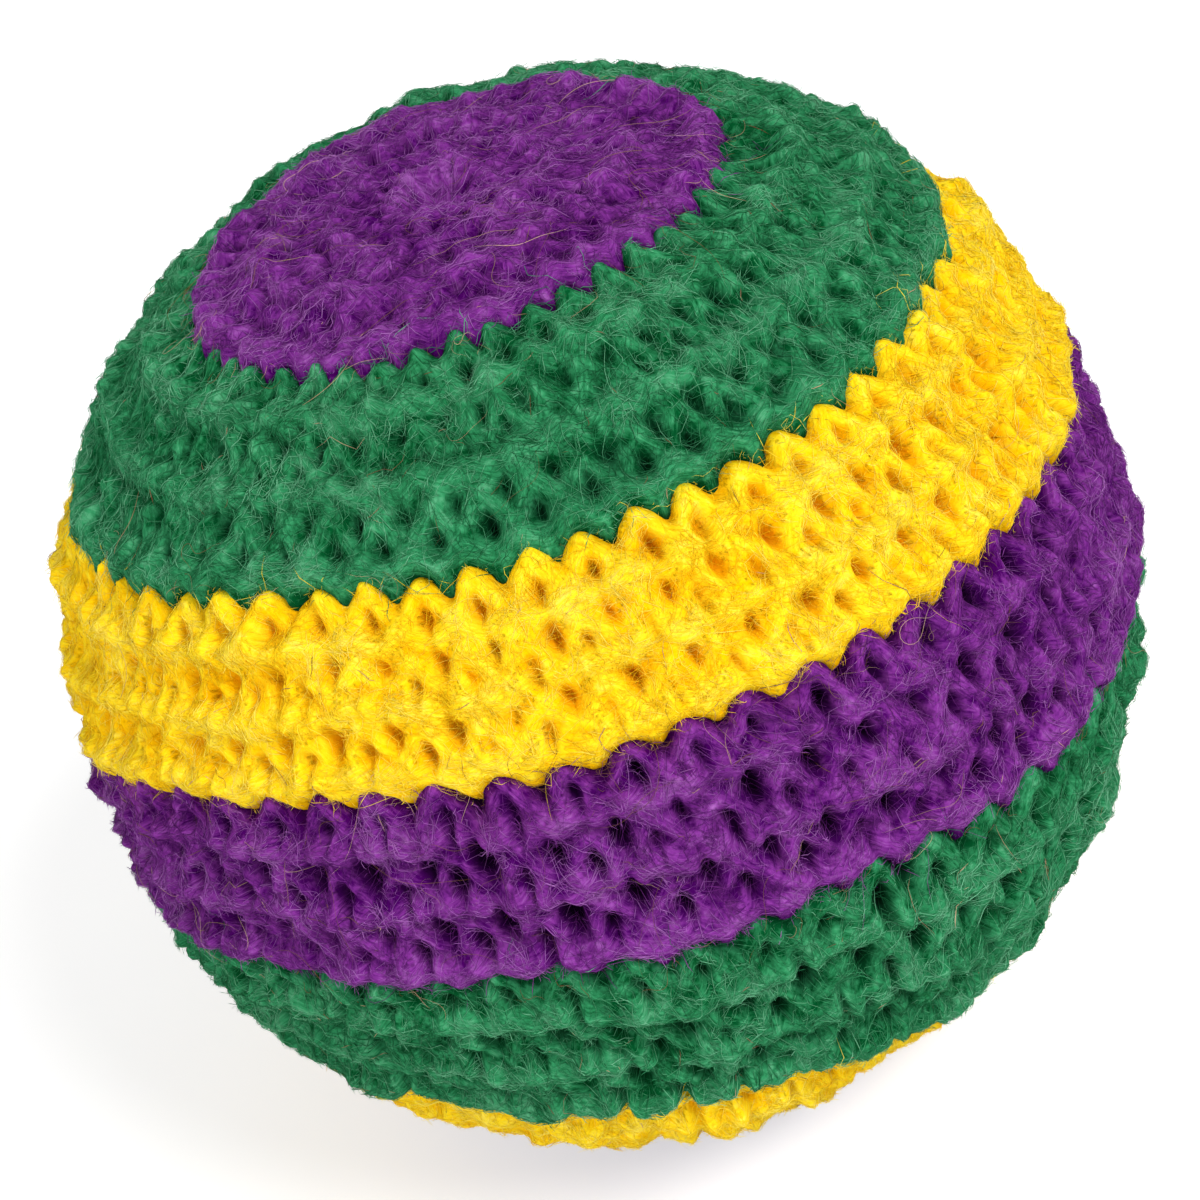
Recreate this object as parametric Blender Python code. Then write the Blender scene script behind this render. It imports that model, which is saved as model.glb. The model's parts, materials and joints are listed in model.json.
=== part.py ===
"""A crocheted footbag: eight lengths of wool worked in rounds into a striped ball,
closed round a tied cloth pouch of dried beans.

Metres, +Z up. The ball stands on its closing end, with the axis of the rounds upright.
"""

import math

import bmesh
import bpy
from mathutils import Matrix, Vector

MM = 0.001

# Ball and cover
BALL_DIAMETER = 54.0 * MM
COVER_WALL = 2.6 * MM
LEG_DEPTH = 0.5 * MM
HOLE_DEPTH = 1.4 * MM
TOOTH_HEIGHT = 1.3 * MM
JOIN_GAP = 0.3 * MM
FOOT_CUT = 0.5 * MM
PUCKER_DEPTH = 1.2 * MM
PUCKER_RADIUS = 1.2 * MM

# Cloth pouch inside the cover
POUCH_GAP = 0.3 * MM
POUCH_WALL = 0.5 * MM
POUCH_SIDES = 28
POUCH_STEP = math.radians(15)
SHOULDER_RADIUS = 9.0 * MM
TUCK_DEPTH = 6.2 * MM
NECK_RADIUS = 1.7 * MM
NECK_HEADROOM = 1.8 * MM
FRILL_RADIUS = 3.8 * MM
FRILL_RISE = 1.4 * MM
PLEAT_DEPTH = 0.6 * MM

# Thread round the pouch's neck
TIE_THICKNESS = 0.8 * MM
TIE_GAP = 0.2 * MM
TIE_SIDES = 6
TIE_STEPS = 20
KNOT_SWELL_SHARE = 0.9
KNOT_WIDTH = math.radians(40)

# Beans
BEAN_LENGTH = 13.0 * MM
BEAN_WIDTH = 8.2 * MM
BEAN_THICKNESS = 6.8 * MM
BEAN_BEND = 0.8 * MM
BEAN_GAP = 0.3 * MM
BEAN_SIDES = 8
BEAN_RINGS = 6
FEWEST_IN_RING = 3
MOST_BEANS = 48

# Where a round's holes and ridge lie, from its top to its foot
HOLE_PLACE_SHARE = 0.12
RIDGE_PLACE_SHARE = 0.62

# Edges that turn more than this are shaded as creases
SHARP_ANGLE = math.radians(50)

# Each finish is its colour, roughness and metallic value
PURPLE_WOOL = ((0.141, 0.028, 0.188, 1.0), 0.95, 0.0)
GREEN_WOOL = ((0.034, 0.178, 0.072, 1.0), 0.95, 0.0)
YELLOW_WOOL = ((0.939, 0.624, 0.026, 1.0), 0.95, 0.0)
COTTON = ((0.78, 0.74, 0.65, 1.0), 0.9, 0.0)
THREAD = ((0.85, 0.82, 0.74, 1.0), 0.8, 0.0)
DRIED_BEAN = ((0.42, 0.20, 0.11, 1.0), 0.45, 0.0)

# Each length of wool from the start of the work to its closing end: its node, its
# colour, and how many stitches each of its rounds has
WOOL_LENGTHS = (
    ("purple_start_cap", PURPLE_WOOL, (8, 16, 24, 36)),
    ("green_upper_stripe", GREEN_WOOL, (44, 50, 50)),
    ("yellow_upper_stripe", YELLOW_WOOL, (52, 54, 54)),
    ("purple_middle_stripe", PURPLE_WOOL, (54, 54, 54)),
    ("green_lower_stripe", GREEN_WOOL, (54, 54, 54)),
    ("yellow_lower_stripe", YELLOW_WOOL, (54, 54, 52)),
    ("purple_lower_stripe", PURPLE_WOOL, (50, 46, 40)),
    ("green_closing_cap", GREEN_WOOL, (30, 18, 8)),
)
# How much of the way from pole to pole each length covers
WOOL_HEIGHT_SHARES = (0.161, 0.123, 0.109, 0.118, 0.129, 0.121, 0.117, 0.122)

# Sizes that follow from these
RIDGE_RADIUS = BALL_DIAMETER / 2
LEG_RADIUS = RIDGE_RADIUS - LEG_DEPTH
HOLE_RADIUS = RIDGE_RADIUS - HOLE_DEPTH
LINING_RADIUS = RIDGE_RADIUS - COVER_WALL
CENTRE_HEIGHT = RIDGE_RADIUS - FOOT_CUT
FOOT_RADIUS = math.sqrt(RIDGE_RADIUS**2 - CENTRE_HEIGHT**2)
FOOT_LATITUDE = -math.asin(CENTRE_HEIGHT / RIDGE_RADIUS)
MOST_STITCHES = max(max(rounds) for _, _, rounds in WOOL_LENGTHS)


def lining_count(stitches):
    """The plain inner side of the cover has one corner for every two stitches."""
    return stitches // 2


def facet_fit(step, sides):
    """How near the centre a faceted ball's flats come, as a share of its radius."""
    return math.cos(step / 2) * math.cos(math.pi / sides)


LINING_STEP = math.pi * max(WOOL_HEIGHT_SHARES) / 2
POUCH_RADIUS = (
    LINING_RADIUS * facet_fit(LINING_STEP, lining_count(MOST_STITCHES)) - POUCH_GAP
)
NECK_HEIGHT = TUCK_DEPTH - NECK_HEADROOM - FRILL_RISE
NECK_BASE = CENTRE_HEIGHT + POUCH_RADIUS - TUCK_DEPTH
SHOULDER_HEIGHT = CENTRE_HEIGHT + math.sqrt(POUCH_RADIUS**2 - SHOULDER_RADIUS**2)
BEAN_ROOM = (POUCH_RADIUS - POUCH_WALL) * facet_fit(POUCH_STEP, POUCH_SIDES) - BEAN_GAP


def clear_scene():
    for item in list(bpy.data.objects):
        bpy.data.objects.remove(item, do_unlink=True)


def material(name, finish):
    colour, roughness, metallic = finish
    made = bpy.data.materials.new(name)
    made.use_nodes = True
    shader = made.node_tree.nodes["Principled BSDF"]
    shader.inputs["Base Color"].default_value = colour
    shader.inputs["Roughness"].default_value = roughness
    shader.inputs["Metallic"].default_value = metallic
    made.diffuse_color = colour
    return made


def finished_mesh(bm, name, finish):
    """A shaded mesh with its own material."""
    mesh = bpy.data.meshes.new(name)
    bm.to_mesh(mesh)
    bm.free()
    mesh.shade_smooth()
    mesh.set_sharp_from_angle(angle=SHARP_ANGLE)
    mesh.materials.append(material(name, finish))
    return mesh


def add_piece(name, mesh):
    piece = bpy.data.objects.new(name, mesh)
    bpy.context.scene.collection.objects.link(piece)
    return piece


def turned_ring(bm, radius, height, count, shift=0.0):
    """A level ring of corners, as (angle, corner) pairs; shift is in steps of the ring."""
    ring = []
    for index in range(count):
        angle = 2 * math.pi * (index + shift) / count
        corner = (radius * math.cos(angle), radius * math.sin(angle), height)
        ring.append((angle, bm.verts.new(corner)))
    return ring


def ball_ring(bm, latitude, radius, count, shift=0.0):
    """A level ring on a ball about the footbag's centre."""
    height = CENTRE_HEIGHT + radius * math.sin(latitude)
    return turned_ring(bm, radius * math.cos(latitude), height, count, shift)


def stitch_ring(bm, latitude, stitches, tooth=0.0):
    """The head of a round: the legs of each stitch, and a hole between it and the next.

    With a tooth, the legs stand up and the holes lie back by half its height.
    """
    lean = tooth / 2 / RIDGE_RADIUS
    legs = ball_ring(bm, latitude + lean, LEG_RADIUS, stitches)
    holes = ball_ring(bm, latitude - lean, HOLE_RADIUS, stitches, 0.5)
    return [corner for pair in zip(legs, holes) for corner in pair]


def pole(bm, height):
    return [(0.0, bm.verts.new((0.0, 0.0, height)))]


def angle_at(ring, index):
    """The angle of a ring's corner, counted on past a full turn."""
    turns, place = divmod(index, len(ring))
    return ring[place][0] + 2 * math.pi * turns


def bridge(bm, first, second):
    """Fill the strip between two rings of any counts, by the shorter way across."""
    here, there = 0, 0
    first_steps = len(first) if len(first) > 1 else 0
    second_steps = len(second) if len(second) > 1 else 0
    while here < first_steps or there < second_steps:
        across_first = abs(angle_at(first, here + 1) - angle_at(second, there))
        across_second = abs(angle_at(second, there + 1) - angle_at(first, here))
        along_first = there == second_steps or (
            here < first_steps and across_first <= across_second
        )
        near = first[here % len(first)][1]
        far = second[there % len(second)][1]
        if along_first:
            here += 1
            bm.faces.new((near, far, first[here % len(first)][1]))
        else:
            there += 1
            bm.faces.new((near, far, second[there % len(second)][1]))


def skin(bm, rings):
    """Close a turned body over its rings, taken down its outer side and up its inner."""
    for first, second in zip(rings, rings[1:]):
        bridge(bm, first, second)
    if len(rings[0]) > 1:
        bridge(bm, rings[-1], rings[0])


def outer_rings(bm, rounds, top, bottom):
    """The ridge of every round, and the stitches that it rises from."""
    rings = []
    round_height = (top - bottom) / len(rounds)
    for index, stitches in enumerate(rounds):
        start = top - index * round_height
        head = start - HOLE_PLACE_SHARE * round_height
        ridge = start - RIDGE_PLACE_SHARE * round_height
        if index and head > FOOT_LATITUDE:
            rings.append(stitch_ring(bm, head, stitches))
        if ridge > FOOT_LATITUDE:
            rings.append(ball_ring(bm, ridge, RIDGE_RADIUS, stitches))
    return rings


def wool_length(index, top, bottom):
    """One length of wool: ridged rounds outside, a plain lining side, toothed joins."""
    name, finish, rounds = WOOL_LENGTHS[index]
    half_gap = JOIN_GAP / 2 / RIDGE_RADIUS
    bm = bmesh.new()
    rings = []
    if index == 0:
        rings.append(pole(bm, CENTRE_HEIGHT + RIDGE_RADIUS - PUCKER_DEPTH))
    else:
        rings.append(stitch_ring(bm, top - half_gap, rounds[0], TOOTH_HEIGHT))
    rings += outer_rings(bm, rounds, top, bottom)
    middle = (top + bottom) / 2
    if index == len(WOOL_LENGTHS) - 1:
        rings.append(turned_ring(bm, FOOT_RADIUS, 0.0, rounds[-2]))
        rings.append(turned_ring(bm, PUCKER_RADIUS, 0.0, rounds[-1]))
        rings.append(pole(bm, PUCKER_DEPTH))
        rings.append(pole(bm, CENTRE_HEIGHT - LINING_RADIUS))
        middle_count = lining_count(rounds[1])
    else:
        joined = WOOL_LENGTHS[index + 1][2][0]
        edge = bottom + half_gap
        rings.append(stitch_ring(bm, edge, joined, TOOTH_HEIGHT))
        rings.append(ball_ring(bm, edge, LINING_RADIUS, lining_count(joined)))
        middle_count = lining_count(rounds[-1])
    rings.append(ball_ring(bm, middle, LINING_RADIUS, middle_count))
    if index == 0:
        rings.append(pole(bm, CENTRE_HEIGHT + LINING_RADIUS))
    else:
        edge = top - half_gap
        rings.append(ball_ring(bm, edge, LINING_RADIUS, lining_count(rounds[0])))
    skin(bm, rings)
    add_piece(name, finished_mesh(bm, name, finish))


def cover():
    top = math.pi / 2
    for index, share in enumerate(WOOL_HEIGHT_SHARES):
        bottom = top - math.pi * share
        wool_length(index, top, bottom)
        top = bottom


def offset_line(line, distance):
    """A copy of a profile, moved to the left of the way that it runs."""
    runs = [(after - point).normalized() for point, after in zip(line, line[1:])]
    lefts = [Vector((-run.y, run.x)) for run in runs]
    moved = []
    for point, before, after in zip(line, lefts[:1] + lefts, lefts + lefts[-1:]):
        side = (before + after).normalized()
        moved.append(point + side * distance / side.dot(before))
    moved[0].x = 0.0
    return moved


def pouch_profile():
    """The pouch's outer side as (radius, height): up from its foot, down into its neck."""
    line = []
    latitude = -math.pi / 2
    shoulder = math.acos(SHOULDER_RADIUS / POUCH_RADIUS)
    while latitude < shoulder - POUCH_STEP / 2:
        height = CENTRE_HEIGHT + POUCH_RADIUS * math.sin(latitude)
        line.append(Vector((POUCH_RADIUS * math.cos(latitude), height)))
        latitude += POUCH_STEP
    line[0].x = 0.0
    line.append(Vector((SHOULDER_RADIUS, SHOULDER_HEIGHT)))
    line.append(Vector((NECK_RADIUS, NECK_BASE)))
    line.append(Vector((NECK_RADIUS, NECK_BASE + NECK_HEIGHT)))
    line.append(Vector((FRILL_RADIUS, NECK_BASE + NECK_HEIGHT + FRILL_RISE)))
    return line


def pleated_ring(bm, point, pleat):
    """A ring of the pouch, every other corner drawn up into a pleat."""
    ring = []
    for index in range(POUCH_SIDES):
        angle = 2 * math.pi * index / POUCH_SIDES
        rise = pleat / 2 if index % 2 else -pleat / 2
        corner = (
            point.x * math.cos(angle),
            point.x * math.sin(angle),
            point.y + rise,
        )
        ring.append((angle, bm.verts.new(corner)))
    return ring


def pouch_rings(bm, line):
    """The rings of one side of the pouch, from its foot to the pleated rim."""
    rings = [pole(bm, line[0].y)]
    rings += [pleated_ring(bm, point, 0.0) for point in line[1:-1]]
    rings.append(pleated_ring(bm, line[-1], PLEAT_DEPTH))
    return rings


def liner_pouch():
    """The cloth pouch of beans: its mouth is gathered, tied and tucked down at the top."""
    bm = bmesh.new()
    outer = pouch_profile()
    down_outside = reversed(pouch_rings(bm, outer))
    up_inside = pouch_rings(bm, offset_line(outer, POUCH_WALL))
    skin(bm, [*down_outside, *up_inside])
    add_piece("liner_pouch", finished_mesh(bm, "liner_pouch", COTTON))


def liner_tie():
    """The thread that closes the neck, swollen where it is knotted."""
    bm = bmesh.new()
    thread = TIE_THICKNESS / 2
    level = NECK_BASE + NECK_HEIGHT / 2
    path = NECK_RADIUS + TIE_GAP + thread
    rings = []
    for step in range(TIE_STEPS):
        angle = 2 * math.pi * step / TIE_STEPS
        off_knot = min(angle, 2 * math.pi - angle)
        swell = KNOT_SWELL_SHARE * max(0.0, 1 - off_knot / KNOT_WIDTH)
        ring = []
        for side in range(TIE_SIDES):
            turn = 2 * math.pi * side / TIE_SIDES
            outward = path + thread * (swell + (1 + swell) * math.cos(turn))
            corner = (
                outward * math.cos(angle),
                outward * math.sin(angle),
                level + thread * (1 + swell) * math.sin(turn),
            )
            ring.append(bm.verts.new(corner))
        rings.append(ring)
    for step, ring in enumerate(rings):
        following = rings[(step + 1) % TIE_STEPS]
        for side in range(TIE_SIDES):
            beside = (side + 1) % TIE_SIDES
            bm.faces.new((ring[side], following[side], following[beside], ring[beside]))
    bmesh.ops.recalc_face_normals(bm, faces=bm.faces)
    add_piece("liner_tie", finished_mesh(bm, "liner_tie", THREAD))


def bean_mesh():
    """One bean on its side: long, a little flat, its ends curved back."""
    bm = bmesh.new()
    bmesh.ops.create_uvsphere(
        bm, u_segments=BEAN_SIDES, v_segments=BEAN_RINGS, radius=1.0
    )
    bmesh.ops.rotate(bm, verts=bm.verts, matrix=Matrix.Rotation(math.pi / 2, 3, "Y"))
    for corner in bm.verts:
        along, across, up = corner.co
        corner.co = (
            along * BEAN_LENGTH / 2,
            across * BEAN_WIDTH / 2 - along * along * BEAN_BEND,
            up * BEAN_THICKNESS / 2,
        )
    return finished_mesh(bm, "bean", DRIED_BEAN)


def inside_pouch(point):
    """Whether a point of a bean is clear of the pouch's wall and of its tucked neck."""
    if (point - Vector((0.0, 0.0, CENTRE_HEIGHT))).length > BEAN_ROOM:
        return False
    level = math.hypot(point.x, point.y)
    if level > SHOULDER_RADIUS:
        return True
    slope = (SHOULDER_HEIGHT - NECK_BASE) / (SHOULDER_RADIUS - NECK_RADIUS)
    ceiling = NECK_BASE + slope * max(level - NECK_RADIUS, 0.0)
    return point.z < ceiling - (POUCH_WALL + BEAN_GAP) * math.hypot(1.0, slope)


def bean_fits(corners, radius, height):
    place = Vector((0.0, radius, height))
    return all(inside_pouch(corner + place) for corner in corners)


def ring_fits(corners, radius, count):
    """Whether this many beans lie nose to tail in a ring without touching."""
    wedge = math.tan(math.pi / count)
    return all(
        abs(corner.x) + BEAN_GAP / 2 <= (radius + corner.y) * wedge for corner in corners
    )


def layer_rings(corners, height):
    """The (radius, count) of each ring of beans at a height, from the wall inwards."""
    rings = []
    radius = POUCH_RADIUS
    while radius > 0 and not bean_fits(corners, radius, height):
        radius -= BEAN_GAP / 2
    while radius > 0 and ring_fits(corners, radius, FEWEST_IN_RING):
        count = FEWEST_IN_RING
        while ring_fits(corners, radius, count + 1):
            count += 1
        rings.append((radius, count))
        radius -= BEAN_WIDTH + BEAN_GAP
    return rings


def middle_room(corners, rings, height):
    """How far a bean can slide inside the innermost ring of a layer; None if it can't lie there."""
    if not bean_fits(corners, 0.0, height):
        return None
    if not rings:
        return 0.0
    innermost = rings[-1][0]
    hollow = min(math.hypot(corner.x, innermost + corner.y) for corner in corners)
    reach = max(math.hypot(corner.x, corner.y) for corner in corners)
    room = hollow - reach - BEAN_GAP
    return room if room > 0 else None


def bean_places(corners):
    """Layers of beans from the pouch's foot up, each turned across the one below.

    A bean in the middle of a layer points at the first bean of the ring round it, and
    has slid up to it.
    """
    height = CENTRE_HEIGHT - POUCH_RADIUS + POUCH_WALL + BEAN_GAP + BEAN_THICKNESS / 2
    places = [Matrix.Translation((0.0, 0.0, height))]
    turn = 0.0
    while height < CENTRE_HEIGHT + POUCH_RADIUS:
        height += BEAN_THICKNESS + BEAN_GAP
        turn += math.pi / 2
        rings = layer_rings(corners, height)
        for radius, count in rings:
            for index in range(count):
                spin = Matrix.Rotation(turn + 2 * math.pi * index / count, 4, "Z")
                places.append(spin @ Matrix.Translation((0.0, radius, height)))
        room = middle_room(corners, rings, height)
        if room is not None:
            spin = Matrix.Rotation(turn, 4, "Z")
            slide = Matrix.Translation((0.0, room, height))
            places.append(spin @ slide @ Matrix.Rotation(math.pi / 2, 4, "Z"))
    return places[:MOST_BEANS]


def beans():
    shape = bean_mesh()
    corners = [corner.co.copy() for corner in shape.vertices]
    for index, place in enumerate(bean_places(corners)):
        add_piece(f"bean_{index + 1:02d}", shape).matrix_world = place


clear_scene()
cover()
liner_pouch()
liner_tie()
beans()
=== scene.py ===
import json
import math

import bpy
import numpy as np
from mathutils import Matrix, Vector

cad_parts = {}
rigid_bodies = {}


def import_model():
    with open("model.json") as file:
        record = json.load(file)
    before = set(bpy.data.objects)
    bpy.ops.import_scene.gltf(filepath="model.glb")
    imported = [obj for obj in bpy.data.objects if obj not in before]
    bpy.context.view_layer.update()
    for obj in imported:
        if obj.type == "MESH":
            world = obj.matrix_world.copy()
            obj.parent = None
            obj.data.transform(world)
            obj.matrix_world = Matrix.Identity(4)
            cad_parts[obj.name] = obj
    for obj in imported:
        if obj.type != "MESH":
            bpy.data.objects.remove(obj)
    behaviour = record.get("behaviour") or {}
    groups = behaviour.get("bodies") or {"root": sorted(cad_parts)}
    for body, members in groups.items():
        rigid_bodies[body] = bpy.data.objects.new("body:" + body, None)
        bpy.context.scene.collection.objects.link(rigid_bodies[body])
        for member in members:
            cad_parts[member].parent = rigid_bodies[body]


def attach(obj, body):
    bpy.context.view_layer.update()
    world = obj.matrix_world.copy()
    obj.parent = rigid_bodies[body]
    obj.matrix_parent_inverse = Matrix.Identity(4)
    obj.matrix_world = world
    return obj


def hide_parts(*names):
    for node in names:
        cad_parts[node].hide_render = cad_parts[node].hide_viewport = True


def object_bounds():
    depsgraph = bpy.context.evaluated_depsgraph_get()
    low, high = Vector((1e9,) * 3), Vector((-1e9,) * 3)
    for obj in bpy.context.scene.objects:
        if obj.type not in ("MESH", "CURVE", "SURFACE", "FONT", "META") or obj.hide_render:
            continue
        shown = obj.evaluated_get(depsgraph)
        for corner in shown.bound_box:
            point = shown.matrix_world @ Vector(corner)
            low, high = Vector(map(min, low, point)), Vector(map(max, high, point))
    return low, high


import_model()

cad_low, cad_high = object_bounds()

MM = 0.001
SEED = 11
MAP = "OFBake"

# The ball, from the frame
BALL_RADIUS = (cad_high.x - cad_low.x) / 2
FOOT_CUT = 0.5 * MM
CENTRE = np.array((0.0, 0.0, BALL_RADIUS - FOOT_CUT))
PUCKER_DEPTH = 1.2 * MM
PUCKER_RADIUS = 1.4 * MM

# Each length of wool from the start of the work down: its node, its wool, and how many
# stitches each of its rounds has
WOOL_LENGTHS = (
    ("purple_start_cap", "purple", (8, 16, 24, 36)),
    ("green_upper_stripe", "green", (44, 50, 50)),
    ("yellow_upper_stripe", "yellow", (52, 54, 54)),
    ("purple_middle_stripe", "purple", (54, 54, 54)),
    ("green_lower_stripe", "green", (54, 54, 54)),
    ("yellow_lower_stripe", "yellow", (54, 54, 52)),
    ("purple_lower_stripe", "purple", (50, 46, 40)),
    ("green_closing_cap", "green", (30, 18, 8)),
)
# How much of the way from pole to pole each length covers
WOOL_HEIGHT_SHARES = (0.161, 0.123, 0.109, 0.118, 0.129, 0.121, 0.117, 0.122)

# The fabric is laid out on a grid of rows from pole to pole and columns round the ball
ROWS = 400
COLUMNS = 2 * ROWS
CELL = math.pi / ROWS

# A stitch, in shares of its round from its top line down, and of its pitch sideways
LEG_FOOT_SHARE = 0.6
LEAN_SHARE = 0.1
RIDGE_SHARE = 0.73
DROOP_SHARE = 0.07
PLACE_WANDER_SHARE = 0.05
HOLE_WANDER_SHARE = 0.2

# Yarn: how wide each strand is, how far its top lies below the ball's outside, and how round
# its back is
LEG_WIDTH = 1.15 * MM
TOOTH_TAPER_SHARE = 0.45
LEG_SINK = 0.62 * MM
APEX_SINK = 0.05 * MM
FOOT_SINK = 0.2 * MM
RIDGE_WIDTH = 1.3 * MM
RIDGE_SINK = 0.18 * MM
RIDGE_SWELL = 0.08 * MM
STRAND_CURVE = 0.85
DEPTH_WANDER = 0.1 * MM
WIDTH_WANDER_SHARE = 0.08
BLEND = 0.28 * MM

# The holes between stitches and the smaller ones inside each: how far down the round they lie
# and how far along it, half their width and height, their depth, and how they slant
BETWEEN_HOLE = {"down": 0.03, "along": 0.5, "wide": 0.28 * MM, "tall": 0.86 * MM, "deep": 1.05 * MM}
INSIDE_HOLE = {"down": 0.45, "along": 0.03, "wide": 0.25 * MM, "tall": 0.74 * MM, "deep": 0.95 * MM}
HOLE_SLANT = 0.08
HOLE_LOWERING = 0.6
ROOMY_PITCH = 3.0 * MM
NOTCH_SHARE = 0.6
# How open the holes of each length are
HOLE_SHARES = (0.4, 0.5, 0.8, 1.0, 1.0, 0.8, 0.9, 0.6)

# The floor between strands, the deepest point of a hole, and the small tufts of the yarn. The
# fabric's inner side has one row of points for several rows outside, and each length runs on
# under its neighbours, sloping down
HOLE_SINK = 1.45 * MM
HOLE_BUMP = 0.15 * MM
DEEPEST_SINK = 2.2 * MM
TUFT = 0.07 * MM
INNER_SINK = 2.5 * MM
INNER_STEP = 8
OVERLAP_SHARE = 0.42
OVERLAP_SLOPE = 0.8

# How far from its own lines, in shares of its height, a round's strands and its holes reach
STRAND_REACH = (-0.9, 1.6)
HOLE_REACH = 0.9
RIDGE_SLOPE = 0.5
# Where strands lie in the streaks of the yarn, so that neighbours show different ones
STREAK_STEP = 1.7
STREAK_REPEAT = 11
RIDGE_STREAKS = 23.0
# How narrow a cell may be for its height at the widest row of a length
NARROWEST_CELL = 0.6
# How far the smoother heights are smoothed, in cells, and how rarely fibres start in a hole
BLUR = 3
HOLE_CHANCE = 0.15

# The tongues of each length's last round that hang into the notches of the next colour
TONGUE_WIDTH = 0.8 * MM
TONGUE_SINK = 0.95 * MM
TONGUE_ENDS = (0.75, 1.05)

# How far the ball departs from round: broad swells, smaller lumps, and rounds out of line
SWELL = 0.2 * MM
LUMP = 0.16 * MM
DRIFT = 0.17 * MM
WAVES = 26

# Where handling has pushed the rounds aside: longitude and latitude, which way they went as
# degrees from east towards north, how far, and how far round that place it reaches
PUSHES = (
    (-182, 19, -90, 11, 20),
    (-25, -5, -90, 5, 22),
    (-50, -38, -90, 19, 22),
    (82, 70, 90, 15, 21),
    (-78, 64, 90, 3, 14),
    (2, 34, -90, 4, 18),
)

# Near the floor the yarn is pressed flat
SETTLING = 0.9 * MM


def unit(vectors):
    return vectors / np.linalg.norm(vectors, axis=-1, keepdims=True)


def screen_colour(red, green, blue):
    """The linear colour that a shader takes, from one as a screen shows it."""
    linear = [((c + 0.055) / 1.055) ** 2.4 if c > 0.04045 else c / 12.92 for c in (red, green, blue)]
    return (*linear, 1.0)


# Shape of the ball


def waves(rng, low, high):
    """Directions, lengths and places of waves that cross the ball, for uneven()."""
    directions = unit(rng.normal(size=(WAVES, 3))) * rng.uniform(low, high, (WAVES, 1))
    return directions, rng.uniform(0, 2 * math.pi, WAVES)


SHAPE_RNG = np.random.default_rng(SEED)
SWELL_WAVES = waves(SHAPE_RNG, 4, 9)
LUMP_WAVES = waves(SHAPE_RNG, 22, 38)
DRIFT_WAVES = waves(SHAPE_RNG, 5, 16)
COMB_WAVES = waves(SHAPE_RNG, 14, 60)
TUFT_WAVES = waves(SHAPE_RNG, 110, 240)
CLUMP_WAVES = waves(SHAPE_RNG, 30, 95)


def uneven(toward, wave):
    directions, places = wave
    total = np.zeros(toward.shape[:-1])
    for direction, place in zip(directions, places):
        total += np.sin(toward @ direction + place)
    return total * math.sqrt(2 / WAVES)


def turned(toward):
    """Directions from the ball's middle, moved as the pushes moved the fabric."""
    moved = toward.copy()
    for push in PUSHES:
        lon, lat, way, size, reach = np.radians(push)
        place = direction(lon, lat)
        east = np.array((-np.sin(lon), np.cos(lon), 0.0))
        course = np.cos(way) * east + np.sin(way) * np.cross(place, east)
        angle = np.arccos(np.clip(toward @ place, -1, 1))
        moved += (size * np.exp(-((angle / reach) ** 2) / 2))[..., None] * course
    return unit(moved)


def direction(longitude, latitude):
    cosine = np.cos(latitude)
    east, north = cosine * np.cos(longitude), cosine * np.sin(longitude)
    return np.stack(np.broadcast_arrays(east, north, np.sin(latitude)), -1)


def on_ball(longitude, latitude, radius):
    """Points of the hand-made ball, whose rounds wander and whose outside is a little lumpy."""
    toward = direction(longitude, latitude)
    cosine = np.cos(latitude)
    latitude = latitude + DRIFT / BALL_RADIUS * uneven(toward, DRIFT_WAVES) * cosine
    outer = np.clip((radius - BALL_RADIUS + INNER_SINK) / INNER_SINK, 0, 1)
    off_axis = BALL_RADIUS * cosine / PUCKER_RADIUS
    lumps = SWELL * uneven(toward, SWELL_WAVES) + LUMP * uneven(toward, LUMP_WAVES)
    radius = radius + outer * (lumps - PUCKER_DEPTH * np.exp(-(off_axis**2)))
    points = CENTRE + turned(direction(longitude, latitude)) * radius[..., None]
    height = points[..., 2]
    pressed = SETTLING * np.exp((np.minimum(height, SETTLING) - SETTLING) / SETTLING)
    points[..., 2] = np.where(height < SETTLING, pressed, height)
    return points


# Rounds of crochet


class Round:
    """One round of stitches, with the small differences of hand work in each stitch."""

    def __init__(self, rng, order, stitches, following, top, height, toothed):
        self.order = order
        self.toothed = toothed
        self.stitches = stitches
        self.following = following
        self.top = top
        self.height = height

        def wander(size):
            return rng.normal(0, size, stitches)

        self.apex_aside, self.foot_aside = wander(PLACE_WANDER_SHARE), wander(PLACE_WANDER_SHARE)
        self.apex_down, self.foot_down = wander(PLACE_WANDER_SHARE), wander(PLACE_WANDER_SHARE)
        self.leg_wide = 1 + wander(WIDTH_WANDER_SHARE)
        self.leg_deep = wander(DEPTH_WANDER)
        self.ridge_down = rng.normal(0, PLACE_WANDER_SHARE / 2, following)
        self.ridge_wide = 1 + rng.normal(0, WIDTH_WANDER_SHARE, following)
        self.ridge_deep = rng.normal(0, DEPTH_WANDER, following)
        self.hole_aside, self.hole_down = wander(PLACE_WANDER_SHARE), wander(PLACE_WANDER_SHARE)
        self.hole_size = np.maximum(1 + wander(HOLE_WANDER_SHARE), 0.4)

    def apex(self, stitch):
        index = stitch % self.stitches
        return stitch + self.apex_aside[index], self.apex_down[index]

    def foot(self, stitch):
        index = stitch % self.stitches
        lean = LEAN_SHARE * LEG_FOOT_SHARE
        return stitch + 0.5 + lean + self.foot_aside[index], LEG_FOOT_SHARE + self.foot_down[index]


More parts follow.
